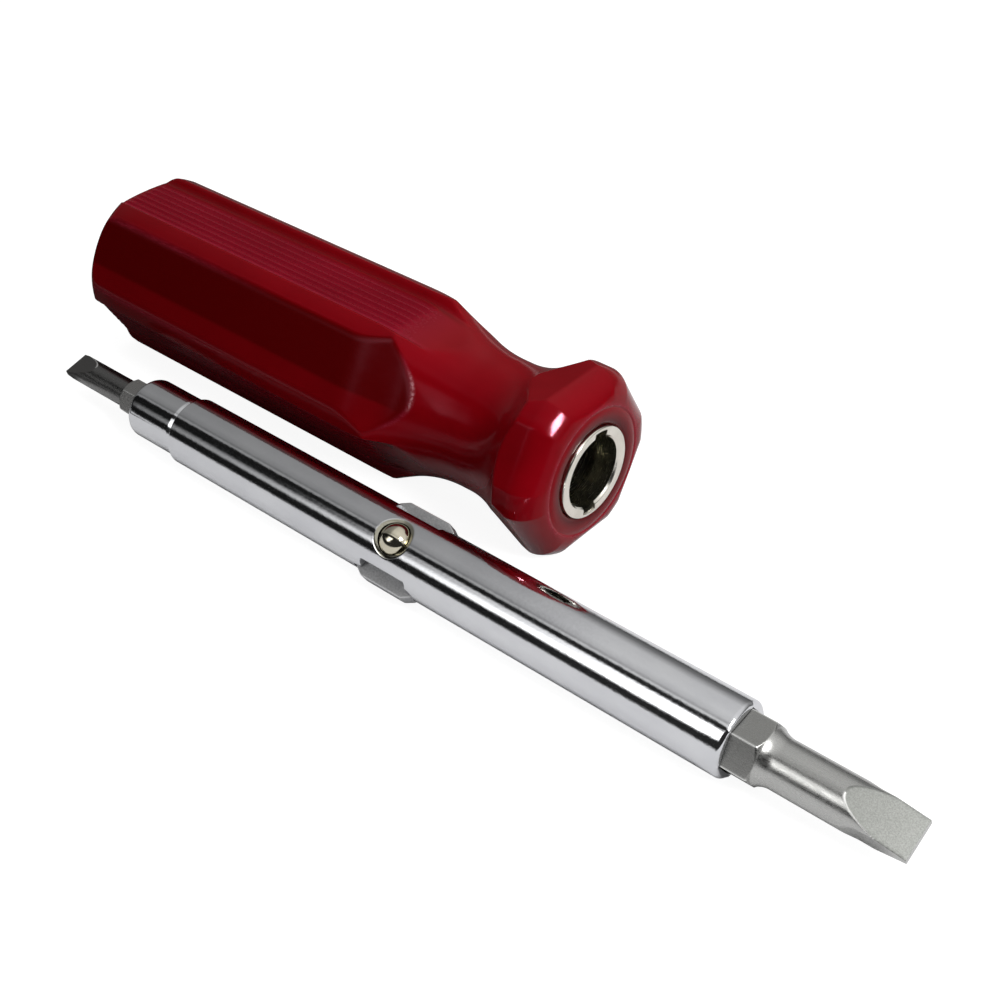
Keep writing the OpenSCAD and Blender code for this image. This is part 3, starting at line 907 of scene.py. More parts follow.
@dataclass
class Handle(Piece):
    """The moulded handle and the plated liner in its collar, about their common axis.

    Profiles are pairs of a radius and a station; the liner's are measured from its bore and its rim.
    """

    butt: tuple[float, float, float] = (-78.2, 7.08596, 12.95)
    length: float = 93.0
    ridge_r: float = 14.1
    ribbed_r: float = 11.9
    ribbed_half: float = 4.6
    wall_slope: float = 40.0
    steepest: float = 87.0
    smooth_r: float = 12.95
    collar_smooth_r: float = 13.3
    collar_ribbed_r: float = 12.95
    butt_round: float = 3.0
    collar_round: float = 4.3
    waist_r: float = 10.1
    waist_from: float = 75.5
    waist_to: float = 77.0
    shoulder_r: float = 24.0
    neck_r: float = 13.5
    collar_lean: float = 0.272
    collar_run: float = 5.7
    crest_blend: float = 0.2
    cut_blend: float = 0.3
    facet_blend: float = 0.06
    neck_blend: float = 0.08
    rib_pitch: float = 1.2667
    rib_count: int = 7
    rib_h: float = 0.3
    rib_power: float = 1.4
    rib_edge: float = 0.1
    rib_start: Span = (0.2, 1.6)
    rib_stop: Span = (60.0, 62.0)
    flat_bend: float = 56.0
    flat_end: float = 67.8
    channel_bend: float = 58.0
    channel_end: float = 70.0
    round_stops: tuple[float, ...] = (-60, -36, -25, 25, 36, 60)
    round_counts: tuple[int, ...] = (31, 15, 111, 15, 31)
    butt_shares: tuple[float, ...] = (0.04, 0.3, 0.6, 0.85, 0.97)
    butt_rings: int = 19
    side_stops: tuple[float, ...] = (3.3, 56, 70, 82)
    side_counts: tuple[int, ...] = (14, 45, 21, 28)
    nose_from: float = 6.0
    nose_rings: int = 15
    front_profile: Stops = ((9.75, 0.0), (9.6, -0.09), (9.48, -0.09), (9.33, 0.0), (8.6, 0.03), (7.7, 0.0),
                            (7.3, -0.08), (7.08, -0.3))
    bore_r: float = 5.6
    bore_depth: float = 85.0
    bore_middle: float = 30.0
    bore_foot: Stops = ((0.0, 0.6), (0.3, 0.1), (0.9, 0.0))
    pole_r: float = 0.4
    seat_from: float = 0.5
    seat_middle: float = 4.0
    seat_step: float = 0.01
    liner_r: float = 6.95
    liner_len: float = 16.0
    liner_lip: float = 0.35
    liner_bore: float = 5.33
    liner_stops: tuple[float, ...] = (-90, -18, -10, 10, 18, 90)
    liner_counts: tuple[int, ...] = (30, 30, 12, 30, 30)
    mouth_break: float = 0.4
    mouth_profile: Stops = ((0.12, 0.3), (0.25, 0.13), (0.4, 0.03), (0.55, 0.0))
    keyway_flare: float = 0.35
    rim_profile: Stops = ((-0.32, 0.0), (-0.12, -0.04), (-0.03, -0.12), (0.0, -0.3), (0.0, -1.0), (0.0, -8.0))
    back_break: float = 0.3
    groove_r: float = 6.3
    groove_from: float = 7.72
    groove_to: float = 12.48
    groove_wall: float = 0.1
    keyway_r: float = 6.3
    keyway_half: float = 1.3
    keyway_from: float = 4.8
    keyway_angle: float = 80.0
    least_angle: float = 0.01
    bore_shade_from: Span = (1.2, 0.4)
    bore_shade_margin: float = 0.05

    def envelope(self, reach: Array) -> Array:
        """Radius of the round envelope: straight grip, long hollow to the waist, short one to the collar.

        Each hollow is a circle's arc, as its centre's distance less the root of the circle's equation.

        Args:
            reach: Stations along the handle.

        Returns:
            Radii at those stations.
        """
        shoulder = self.waist_r + self.shoulder_r - np.sqrt(
            np.maximum(self.shoulder_r**2 - np.minimum(reach - self.waist_from, 0.0) ** 2, 0.0))
        neck = self.waist_r + self.neck_r - np.sqrt(
            np.maximum(self.neck_r**2 - np.clip(reach - self.waist_to, 0.0, self.neck_r) ** 2, 0.0))
        return soft_min(np.maximum(shoulder, neck), np.full_like(reach, self.ridge_r), self.crest_blend)

    def flat(self, reach: Array, angle: Array) -> Array:
        """Radius of the smooth flats, a distance over the cosine of the angle from their middle.

        Down the shoulder the distance eases to that of the round envelope where the flat runs out.

        Args:
            reach: Stations along the handle.
            angle: Angles about its axis.

        Returns:
            Radii of the flats' faces.
        """
        low = self.envelope(np.array(self.flat_end))
        fall = (self.smooth_r - low) * ease(reach, self.flat_bend, self.flat_end)
        return (self.smooth_r - fall) / cosd(wrap(angle - SMOOTH_AT, SECTOR))

    def channel(self, reach: Array, angle: Array) -> Array:
        """Radius of the ribbed channels: the larger of a floor and its sloped walls, run out as the flats are.

        Each rib is a raised cosine across the floor.

        Args:
            reach: Stations along the handle.
            angle: Angles about its axis.

        Returns:
            Radii of the channels' faces.
        """
        end = self.envelope(np.array(self.channel_end))
        low = self.ribbed_r - (self.ribbed_r - end) * ease(reach, self.channel_bend, self.channel_end)
        off = wrap(angle - RIBBED_AT, SECTOR)
        across = self.ribbed_r * np.tan(np.radians(off))
        wave = 0.5 + 0.5 * np.cos(2 * np.pi * across / self.rib_pitch)
        last = self.rib_pitch * self.rib_count / 2
        inside = fade(np.abs(across), last - self.rib_edge * self.rib_pitch, last)
        rib = self.rib_h * wave**self.rib_power * inside * fade(reach, *self.rib_stop) * ease(reach, *self.rib_start)
        slope = math.radians(self.wall_slope)
        wall = low * math.cos(slope) - self.ribbed_half * math.sin(slope)
        steep = np.minimum(np.abs(off) + self.wall_slope, self.steepest)
        return soft_max(low / cosd(off) + rib, wall / cosd(steep), self.cut_blend)

    def grip(self, reach: Array, angle: Array) -> Array:
        """Radius of the grip: the round envelope under its flats, its channels and the butt's turned rounding.

        The rounding is a quarter circle that ends level with the ridges.

        Args:
            reach: Stations along the handle.
            angle: Angles about its axis.

        Returns:
            Radii of the grip.
        """
        cut = soft_min(self.envelope(reach) + 0 * angle, self.flat(reach, angle), self.cut_blend)
        cut = soft_min(cut, self.channel(reach, angle), self.cut_blend)
        left = np.clip(self.butt_round - reach, 0.0, self.butt_round)
        rounding = self.ridge_r - self.butt_round + np.sqrt(self.butt_round**2 - left**2)
        return np.where(reach < self.butt_round, soft_min(cut, rounding + 0 * angle, self.cut_blend), cut)

    def scallop(self, angle: Array, back: Array) -> Array:
        """Depth of the collar's six flats under its ridges, each with the radius d / cos(angle).

        The three that follow the ribbed channels lean in towards the waist, and the one below lies on the table.

        Args:
            angle: Places round the collar.
            back: Distances behind the front rounding.

        Returns:
            Depths under the ridges' radius.
        """
        lean = self.collar_lean * np.clip(back, 0.0, self.collar_run)
        below = np.abs(wrap(angle - BELOW_AT, FULL_TURN)) < SECTOR / 2
        smooth = np.where(below, self.smooth_r, self.collar_smooth_r) / cosd(wrap(angle - SMOOTH_AT, SECTOR))
        ribbed = (self.collar_ribbed_r - lean) / cosd(wrap(angle - RIBBED_AT, SECTOR))
        facets = np.minimum(smooth + 0 * lean, ribbed)
        return self.ridge_r - soft_min(np.full_like(ribbed, self.ridge_r), facets, self.facet_blend)

    def side(self, reach: Array, angle: Array) -> Array:
        """Radius of the handle's side: the grip up to the waist, then the neck under the collar's flats.

        Args:
            reach: Stations along the handle.
            angle: Angles about its axis.

        Returns:
            Radii of the side.
        """
        middle = (self.waist_from + self.waist_to) / 2
        facets = self.ridge_r - self.scallop(angle, self.length - self.collar_round - reach)
        neck = soft_min(self.envelope(reach) + 0 * angle, facets, self.neck_blend)
        return np.where(reach < middle, self.grip(reach, angle), neck)

    def angles(self) -> Array:
        """Places round the handle, closest together across the ribs."""
        sector = stations(self.round_stops, self.round_counts)[:-1]
        return np.concatenate([sector + RIBBED_AT + SECTOR * i for i in range(3)])

    def nose(self, angle: Array) -> tuple[Array, Array]:
        """The collar's front rounding, a quarter circle less the scallops, which run out towards its end.

        Args:
            angle: Places round the collar.

        Returns:
            Radii and stations as rings by places.
        """
        bend = np.linspace(self.nose_from, 90.0, self.nose_rings)[:, None]
        hollow = self.scallop(angle, np.zeros_like(bend)) * (1.0 - (1.0 - cosd(bend)) ** 3)
        radius = self.ridge_r - self.collar_round * (1.0 - cosd(bend)) - hollow
        place = self.length - self.collar_round + self.collar_round * sind(bend)
        return radius, np.broadcast_to(place, radius.shape)

    def socket_profile(self) -> Stops:
        """The turned line from the collar's front over the liner's seat to the bottom of the bore.

        Returns:
            Radius of each ring and its station from the front.
        """
        foot = tuple((self.bore_r - inward, -self.bore_depth + up) for inward, up in self.bore_foot)
        return (*self.front_profile, (self.liner_r, -self.seat_from), (self.liner_r, -self.seat_middle),
                (self.liner_r, -self.liner_len), (self.bore_r, -self.liner_len - self.seat_step),
                (self.bore_r, -self.bore_middle), *foot, (self.pole_r, -self.bore_depth))

    def build_grip(self) -> bpy.types.Object:
        """The handle as one closed surface from the butt's middle to the bottom of the bore.

        Returns:
            The finished object.
        """
        angle = self.angles()[None, :]
        butt_r = np.array(self.butt_shares)[:, None] * self.grip(np.zeros_like(angle), angle)
        arc = self.butt_round * (1.0 - cosd(np.linspace(0.0, 90.0, self.butt_rings)))
        side = stations((*self.side_stops, self.length - self.collar_round), self.side_counts)
        reach = np.concatenate([arc, side])[:, None]
        body_r = self.side(reach, angle)
        nose_r, nose_x = self.nose(angle)
        bore_r, bore_x = turned(self.socket_profile(), angle.size)
        radius = np.concatenate([butt_r, body_r, nose_r, bore_r])
        place = np.concatenate([0 * butt_r, np.broadcast_to(reach, body_r.shape), nose_x, self.length + bore_x])
        piece = Builder.rings("handle_moulding", turn_about_x(place, radius, angle, self.butt), crease=50.0)
        reach, radius, angle = polar(Builder.points_of(piece), self.butt)
        for name, values in GripLightAndWear().marks(reach, radius, angle, self.flat(reach, angle) - radius).items():
            Builder.mark(piece, name, values)
        return piece

    def liner_inside(self, bore: Array, slot: Array) -> Array:
        """Radius inside the liner: plain bore, then the keyways, with the ball's groove across them.

        Args:
            bore: Stations from the liner's back.
            slot: Radii of the bore with its keyways.

        Returns:
            Radii as stations by places.
        """
        inner = np.where(bore >= self.keyway_from, slot, self.liner_bore)
        return np.where((bore >= self.groove_from) & (bore <= self.groove_to), self.groove_r, inner)

    def build_liner(self) -> bpy.types.Object:
        """The liner as a closed sleeve with a groove for the ball and two keyways.

        Inside a keyway the radius follows the flat wall, half the width over the sine of the angle from its middle,
        held between the bore and the keyway's floor.

        Returns:
            The finished object.
        """
        sector = stations(self.liner_stops, self.liner_counts)[:-1]
        angle = np.concatenate([sector, sector + 180.0])[None, :] + self.keyway_angle
        off = np.maximum(np.abs(wrap(angle - self.keyway_angle, 180.0)), self.least_angle)
        slot = np.clip(self.keyway_half / sind(off), self.liner_bore, self.keyway_r)
        full, gap = self.liner_len + self.liner_lip, self.groove_wall
        bore = spread((0, self.keyway_from - gap, 6), (self.keyway_from, self.groove_from - gap, 6),
                      (self.groove_from, self.groove_to, 8), (self.groove_to + gap, full - self.mouth_break, 10))
        inner = self.liner_inside(bore[:, None], slot)
        out, back = turned(self.mouth_profile, angle.size)
        mouth_r = np.maximum(self.liner_bore + out, slot + out * self.keyway_flare)
        tail = ((0.0, -full + self.back_break), (-self.back_break, -full))
        rim_r, rim_x = turned((*self.rim_profile, *tail), angle.size)
        radius = np.concatenate([inner, mouth_r, self.liner_r + rim_r])
        place = np.concatenate([np.broadcast_to(bore[:, None], inner.shape), full - back, full + rim_x])
        start = (self.butt[0] + self.length - self.liner_len, *self.butt[1:])
        piece = Builder.rings("liner_sleeve", turn_about_x(place, radius, angle, start), loop=True, crease=40.0)
        reach, radius, _ = polar(Builder.points_of(piece), start)
        # Painted shade on the inside of the liner, away from its mouth.
        deep = fade(reach, full - self.bore_shade_from[0], full - self.bore_shade_from[1])
        Builder.mark(piece, "painted_shade", deep * (radius < self.keyway_r + self.bore_shade_margin))
        return piece

    def dress(self) -> None:
        """Builds both pieces and joins them to the handle's body."""
        self.join(self.build_grip(), "handle", "handle_grip", Slot.HANDLE, RedPlastic().make())
        self.join(self.build_liner(), "handle", "socket_liner", Slot.LINER, NICKEL.make())


@dataclass
class Spring:
    """A round wire wound about a straight axis."""

    foot: Array
    axis: Array
    length: float
    outer_d: float
    wire: float
    turns: int
    steps: int = 26
    places: int = 12
    flat_ends: float = 0.18

    def build(self, name: str) -> bpy.types.Object:
        """The wire as a circle carried along a helix whose end turns lie flatter.

        The height grows with the turn, eased at both ends; the circle stands across the helix's tangent.

        Args:
            name: Name of the piece.

        Returns:
            The finished object.
        """
        share = np.linspace(0.0, 1.0, self.steps * self.turns)
        rise = (1.0 - self.flat_ends) * share + self.flat_ends * ease(share, 0.0, 1.0)
        turn = 2 * np.pi * self.turns * share
        coil = self.outer_d / 2 - self.wire / 2
        side, other = square_to(self.axis)
        radial = np.cos(turn)[:, None] * side + np.sin(turn)[:, None] * other
        height = self.wire / 2 + rise * (self.length - self.wire)
        middle = self.foot + coil * radial + height[:, None] * self.axis
        tangent = np.gradient(middle, axis=0)
        tangent /= np.linalg.norm(tangent, axis=1, keepdims=True)
        upright = np.cross(tangent, radial)
        around = np.linspace(0.0, 2 * np.pi, self.places, endpoint=False)[None, :, None]
        circle = np.cos(around) * radial[:, None] + np.sin(around) * upright[:, None]
        return Builder.rings(name, middle[:, None] + self.wire / 2 * circle)


@dataclass
class Ball:
    """A bearing ball."""

    centre: Array
    diameter: float
    bands: int = 66
    places: int = 96

    def build(self, name: str, pole: Array) -> bpy.types.Object:
        """The ball as circles of latitude about its pole, with the latitude's sine as radius and cosine as height.

        Args:
            name: Name of the piece.
            pole: Unit vector towards the pole.

        Returns:
            The finished object.
        """
        side, other = square_to(pole)
        down = np.linspace(0.0, np.pi, self.bands)[1:-1, None, None]
        around = np.linspace(0.0, 2 * np.pi, self.places, endpoint=False)[None, :, None]
        ring = np.cos(around) * side + np.sin(around) * other
        return Builder.rings(name, self.centre + self.diameter / 2 * (np.sin(down) * ring + np.cos(down) * pole))


@dataclass(frozen=True)
class Bit:
    """One double-ended bit in its own frame: X towards the blade, from the middle of the hexagon."""

    af: float
    hex_len: float
    shank_d: float
    reach: float
    flare: float
    blade_w: float
    blade_t: float
    grind: float
    blade_turn: float
    keep_d: float
    keep_depth: float
    hex_break: float = 0.5
    point_share: float = 0.3
    point_half_angle: float = 28.0
    core_share: float = 0.2
    flute_slope: float = 12.0
    flute_least: float = 0.02
    keep_play: float = 0.05
    keep_angle: float = 240.0
    keep_places: int = 48
    side_share: float = 0.35
    clear: float = 50.0
    blade_blend: float = 0.06
    grind_blend: float = 0.05
    hex_blend: float = 0.12
    tip_gap: float = 0.02
    tip_run: float = 0.1
    cross_run: float = 7.0
    break_run: float = 1.0
    drill_run: float = 1.6
    neck_lead: float = 1.2
    neck_tail: float = 0.4
    run_counts: tuple[int, ...] = (60, 10, 26, 8, 26, 8, 46, 8, 70, 4)
    half_places: int = 97
    corner_run: float = 2.0
    corner_places: int = 9
    root_shares: tuple[float, ...] = (0.05, 0.5, 0.9)
    tip_shares: tuple[float, ...] = (0.98, 0.9, 0.5, 0.05)
    crease: float = 28.0
    ground_from: Span = (-0.05, 0.1)
    ground_deep: Span = (0.03, 0.06)
    brink_wide: Span = (0.02, 0.1)
    wear_and_sheen_to: Span = (0.45, 0.7)
    face_half: float = 29.0
    face_margin: float = 0.05
    corner_margin: float = 0.3
    corner_worn: Span = (0.8, 2.2)
    corner_level: float = 0.8

    def neck(self, reach: Array, flare: float) -> Array:
        """Radius from the hexagon's corners over its break and down a hollow flare to the shank.

        The break is a straight cone; the flare is a circle's arc that ends level with the shank.

        Args:
            reach: Stations from the hexagon's middle.
            flare: Length of the flare.

        Returns:
            Radii of the neck.
        """
        end = self.hex_len / 2
        corner = self.af / 2 / math.cos(math.radians(HEX_CORNER))
        cone = self.af / 2 + (corner - self.af / 2) * (end - reach) / self.hex_break
        rise = (self.af - self.shank_d) / 2
        bend = (flare**2 + rise**2) / (2 * rise)
        left = np.clip(end + flare - reach, 0.0, bend)
        hollow = self.shank_d / 2 + bend - np.sqrt(bend**2 - left**2)
        return np.where(reach <= end, np.minimum(cone, corner + 1.0), hollow)

    def blade(self, reach: Array, angle: Array) -> Array:
        """Radius under the two ground faces, which near each other evenly to the tip, and the two sides.

        The sides come in over the first part of the grind and run on level with the axis.

        Args:
            reach: Stations from the hexagon's middle.
            angle: Angles about the bit's axis.

        Returns:
            Radii of the blade, far out where it has not begun.
        """
        share = np.clip((reach - (self.reach - self.grind)) / self.grind, 0.0, 1.0)
        free = np.where(share > 0.0, 0.0, self.clear) + self.shank_d / 2
        thick = free + (self.blade_t - self.shank_d) / 2 * share
        wide = free + (self.blade_w - self.shank_d) / 2 * ease(share, 0.0, self.side_share)
        off = angle - self.blade_turn
        return soft_min(chord(thick, sind(off)), chord(wide, cosd(off)), self.blade_blend)

    def cross(self, back: Array, angle: Array) -> Array:
        """Radius of the cross point: a blunt cone with four V flutes that rise away from the tip.

        Args:
            back: Stations from the hexagon's middle towards the point.
            angle: Angles about the bit's axis.

        Returns:
            Radii of the point.
        """
        shank, left = self.shank_d / 2, self.reach - back
        cone = shank * self.point_share + left * math.tan(math.radians(self.point_half_angle))
        root = shank * self.core_share + left * math.tan(math.radians(self.flute_slope))
        off = wrap(angle, 90.0)
        flute = chord(root, cosd(off) - np.abs(sind(off)), self.flute_least)
        return soft_min(np.minimum(cone, shank), flute, self.hex_blend)

    def radius(self, reach: Array, angle: Array) -> Array:
        """Radius of the whole bit: hexagon, neck, shank and blade ahead; hexagon, neck and cross point behind.

        Args:
            reach: Stations from the hexagon's middle.
            angle: Angles about the bit's axis.

        Returns:
            Radii of the surface.
        """
        hexagon = self.af / 2 / cosd(wrap(angle, HEX_SECTOR))
        end = self.hex_len / 2
        ahead = soft_min(hexagon, self.neck(reach, self.flare), self.hex_blend)
        ahead = np.where(reach > end + self.flare, self.shank_d / 2, ahead)
        ahead = soft_min(ahead, self.blade(reach, angle), self.grind_blend)
        behind = soft_min(hexagon, self.neck(-reach, self.hex_break), self.hex_blend)
        behind = np.where(-reach > end + self.hex_break, self.cross(-reach, angle), behind)
        return np.where(reach >= 0.0, ahead, behind)

    def grid(self) -> tuple[Array, Array]:
        """Stations along the bit and places round it, closest together at its edges.

        Returns:
            Stations, and angles in degrees.
        """
        end, tip = self.hex_len / 2, self.reach
        stops = (-tip + self.tip_gap, -tip + self.cross_run, -end - self.break_run, -end + self.break_run,
                 -self.drill_run, self.drill_run, end - self.neck_lead, end + self.flare + self.neck_tail,
                 tip - self.grind - self.neck_tail, tip - self.tip_run, tip)
        corner = math.degrees(math.atan2(self.blade_t, self.blade_w))
        near = np.linspace(-self.corner_run, self.corner_run, self.corner_places)
        half = np.concatenate([np.linspace(-90, 90, self.half_places)[:-1], corner + near, -corner + near])
        half = np.unique(np.round(half, 4))
        return stations(stops, self.run_counts), np.concatenate([half, half + 180.0]) + self.blade_turn

    def drill(self, name: str, put: Callable[[Array, Array, Array], Array]) -> bpy.types.Object:
        """Round cutter for the holding ball's hole, square to the bit's axis.

        Args:
            name: Name of the cutter.
            put: Turns stations, radii and angles of the bit's frame into points of the part's frame.

        Returns:
            The cutter.
        """
        turn = np.linspace(0.0, FULL_TURN, self.keep_places, endpoint=False)[None, :]
        depth = np.array([-self.keep_depth, self.af])[:, None]
        hole = self.keep_d / 2 + self.keep_play
        side = hole * sind(turn)
        lean = np.degrees(np.arctan2(side, depth)) + self.keep_angle
        return Builder.rings(name, put(hole * cosd(turn) + 0 * depth, np.hypot(depth, side), lean))

    def build(self, name: str, put: Callable[[Array, Array, Array], Array]) -> bpy.types.Object:
        """The bit as one closed surface, with the holding ball's hole carved in.

        Args:
            name: Name of the piece.
            put: Turns stations, radii and angles of the bit's frame into points of the part's frame.

        Returns:
            The finished object.
        """
        reach, angle = self.grid()
        radius = self.radius(reach[:, None], angle[None, :])
        root = radius[:1] * np.array(self.root_shares)[:, None]
        tip = radius[-1:] * np.array(self.tip_shares)[:, None]
        place = np.concatenate([np.full(len(root), reach[0]), reach, np.full(len(tip), reach[-1])])[:, None]
        rings = put(place, np.concatenate([root, radius, tip]), angle[None, :])
        piece = Builder.rings(name, rings, crease=self.crease)
        Builder.carve(piece, [self.drill(name + "_drill", put)], self.crease)
        return piece

    def tint(self, piece: bpy.types.Object, local: Callable[[Array], Polar]) -> None:
        """Marks the ground faces, the hexagon's faces, and the edges: rubbed hexagon corners, and blade edges that
        are partly rubbed and partly painted highlight.

        A point is ground where its height across the blade, radius times sine, comes near the face's own. The painted
        highlight lies where a ground face is about as far out as the shank or the blade's corner.

        Args:
            piece: The finished object.
            local: Turns points of the part's frame into stations, radii and angles of the bit's frame.
        """
        reach, radius, angle = local(Builder.points_of(piece))
        start, shank = self.reach - self.grind, self.shank_d / 2
        share = (reach - start) / self.grind
        thick = shank + (self.blade_t - self.shank_d) / 2 * share
        wide = shank + (self.blade_w - self.shank_d) / 2 * share
        off = angle - self.blade_turn
        deep = thick - radius * np.abs(sind(off))
        ground = ease(reach - start, *self.ground_from) * fade(deep, *self.ground_deep)
        brink = np.minimum(shank, np.hypot(wide, thick)) - radius
        # Only the blade edges that face one way get the painted highlight, fading towards the tip.
        shown = (cosd(off) * sind(off) < 0.0) * fade(share, *self.wear_and_sheen_to)
        edge = ground * shown * fade(brink, *self.brink_wide)
        left = self.hex_len / 2 - np.abs(reach)
        face = (left > self.face_margin) & (radius < self.af / 2 / math.cos(math.radians(self.face_half)))
        corner = np.abs(np.abs(wrap(angle, HEX_SECTOR)) - HEX_CORNER)
        on_corner = (left > self.corner_margin) * fade(corner, *self.corner_worn)
        Builder.mark(piece, "ground", ground)
        Builder.mark(piece, "hexagon", face * 1.0)
        Builder.mark(piece, "edge", np.maximum(edge, self.corner_level * on_corner))


@dataclass(frozen=True)
class Holder:
    """One end of the shaft: its bit, which way that looks, and where its hexagon and holding ball sit."""

    name: str
    bit: Bit
    facing: Facing
    hex_x: float
    keep_r: float
    keep_turns: int
    satin: SatinBit


LARGE = Holder(
    "large",
    Bit(af=7.86, hex_len=14.0, shank_d=6.6, reach=26.6, flare=1.9, blade_w=5.6, blade_t=1.0, grind=9.1,
        blade_turn=-13.0, keep_d=2.5, keep_depth=2.0),
    Facing.AHEAD, hex_x=50.95, keep_r=2.73, keep_turns=4, satin=LARGE_SATIN)
SMALL = Holder(
    "small",
    Bit(af=5.36, hex_len=13.0, shank_d=4.4, reach=20.5, flare=0.3, blade_w=4.2, blade_t=0.8, grind=6.0,
        blade_turn=22.6, keep_d=1.8, keep_depth=1.5),
    Facing.BACK, hex_x=-51.75, keep_r=1.83, keep_turns=3, satin=SHADED_SMALL_SATIN)


@dataclass
class Shaft(Piece):
    """The chromed tube with its ears, ball, springs and bits, about the tube's axis.

    In the tube's own frame the ears stand at 0 and 180 degrees and the ball at 90.
    """

    middle: tuple[float, float, float] = (0.65, -15.414, 5.25)
    roll: float = 31.6
    socket_roll: float = 6.0
    tube_r: float = 5.25
    half: float = 54.05
    small_r: float = 4.7
    small_len: float = 10.4
    step_len: float = 0.35
    relief_len: float = 0.9
    relief_depth: float = 0.14
    end_round: float = 0.7
    small_round: float = 1.0
    round_from: float = 8.0
    round_rings: int = 9
    mid_bore_r: float = 3.6
    small_bore_r: float = 2.65
    bore_step: float = 1.0
    large_af: float = 8.0
    small_af: float = 5.5
    large_depth: float = 16.0
    small_depth: float = 14.0
    mouth_wall: float = 0.2
    lip_in: float = 0.25
    lip_out: tuple[float, ...] = (0.12, 0.04)
    lip_run: float = 0.06
    places: int = 240
    crease: float = 30.0
    step_stops: tuple[float, ...] = (-1.45, -0.45, 0.3)
    side_stops: tuple[float, ...] = (-9.0, -5.6, -3.7, 3.7, 5.6, 9.0)
    side_counts: tuple[int, ...] = (8, 10, 12, 12, 12, 24, 64, 24, 12, 14)
    core_counts: tuple[int, ...] = (6, 10, 14, 6)
    socket_wall: float = 0.02
    bore_wall: float = 0.1
    ear_len: float = 10.2
    ear_span: float = 12.2
    ear_t: float = 2.2
    ear_bevel: float = 1.5
    ear_ease: float = 0.22
    ease_rings: int = 6
    key_places: int = 360
    key_passes: int = 3
    key_shares: tuple[float, ...] = (0.3, 0.7)
    worn_in: float = 0.08
    worn_wide: Span = (0.02, 0.1)
    worn_level: float = 0.85
    flat_dist: float = 4.3
    flat_half: float = 4.0
    flat_rise: float = 6.0
    flat_least: float = 0.05
    flat_blend: float = 0.1
    slot_gap: float = 0.5
    slot_play: float = 0.05
    cutter_r: float = 8.0
    ball_d: float = 4.76
    ball_z: float = 3.87
    ball_play: float = 0.05
    ball_travel: float = 1.0
    drill_from: float = 0.3
    drill_places: int = 64
    seat_r: float = 2.95
    seat_depth: float = 0.3
    seat_shade: Span = (-0.1, 0.02)
    spring_d: float = 3.2
    spring_wire: float = 0.45
    spring_turns: int = 5
    spring_foot: float = -3.8
    spring_hole_r: float = 1.85
    keep_wire: float = 0.25
    keep_travel: float = 0.3
    holders: tuple[Holder, ...] = (LARGE, SMALL)

    def put(self, reach: Array, radius: Array, angle: Array) -> Array:
        """Points of the part's frame from the tube's own stations, radii and angles."""
        return turn_about_x(reach, radius, angle + self.roll, self.middle)

    def bit_angle(self, holder: Holder, angle: Array) -> Array:
        """Angles of the tube's frame from a bit's frame, which is turned over when the bit looks back."""
        way = holder.facing.value
        return 90.0 * (1.0 - way) + way * angle + self.socket_roll

    def put_bit(self, holder: Holder, reach: Array, radius: Array, angle: Array) -> Array:
        """Points of the part's frame from a bit's own stations, radii and angles."""
        return self.put(holder.hex_x + holder.facing.value * reach, radius, self.bit_angle(holder, angle))

    def local_bit(self, holder: Holder, points: Array) -> Polar:
        """Stations, radii and angles of a bit's frame, as put_bit undone.

        Args:
            holder: End of the shaft that the bit is in.
            points: Points of the part's frame.

        Returns:
            Stations, radii and angles in degrees.
        """
        reach, radius, angle = polar(points, self.middle)
        way = holder.facing.value
        turn = angle - self.roll - self.socket_roll
        return way * (reach - holder.hex_x), radius, 90.0 * (1.0 - way) + way * turn

    def direction(self, angle: float) -> Array:
        """Unit vector across the tube at an angle of its own frame."""
        turn = math.radians(angle + self.roll)
        return np.array([0.0, math.cos(turn), math.sin(turn)])

    def outside(self, reach: Array, angle: Array) -> Array:
        """Outer radius: the turned tube, less the flats beside the ears and the dished seat round the ball.

        A flat at a distance d has the radius d / |cos(angle)|. The seat falls evenly from its rim to the ball's hole.

        Args:
            reach: Stations from the tube's middle.
            angle: Angles about its axis.

        Returns:
            Radii of the outside.
        """
        stop = -self.half + self.small_len
        start = stop - self.step_len
        step = ease(reach, start, stop)
        relief = np.clip((reach - start + self.relief_len) / self.relief_len, 0.0, 1.0) * (1.0 - step)
        tube = self.small_r + (self.tube_r - self.small_r) * step - self.relief_depth * relief
        past = np.maximum(np.abs(reach) - self.flat_half, 0.0)
        flat = chord(self.flat_dist + self.flat_rise * past, cosd(angle), self.flat_least)
        tube = soft_min(tube + 0 * angle, flat, self.flat_blend)
        off = np.hypot(reach, tube * cosd(angle))
        dish = self.seat_depth * np.clip((self.seat_r - off) / (self.seat_r - self.ball_d / 2), 0.0, 1.0)
        return tube - np.where(sind(angle) > 0.0, dish, 0.0)

    def bore_change(self) -> float:
        """Station where the narrow bore of the small end meets the wider one."""
        return -self.ear_len / 2 - self.slot_gap - self.bore_step

    def inside(self, reach: Array, angle: Array) -> Array:
        """Inner radius: a hexagonal socket at each end, a round bore between.

        Args:
            reach: Stations from the tube's middle.
            angle: Angles about its axis.

        Returns:
            Radii of the inside.
        """
        hexagon = 1.0 / cosd(wrap(angle - self.socket_roll, HEX_SECTOR))
        bore = np.where(reach < self.bore_change(), self.small_bore_r, self.mid_bore_r)
        bore = np.where(reach > self.half - self.large_depth, self.large_af / 2 * hexagon, bore)
        return np.where(reach < -self.half + self.small_depth, self.small_af / 2 * hexagon, bore)

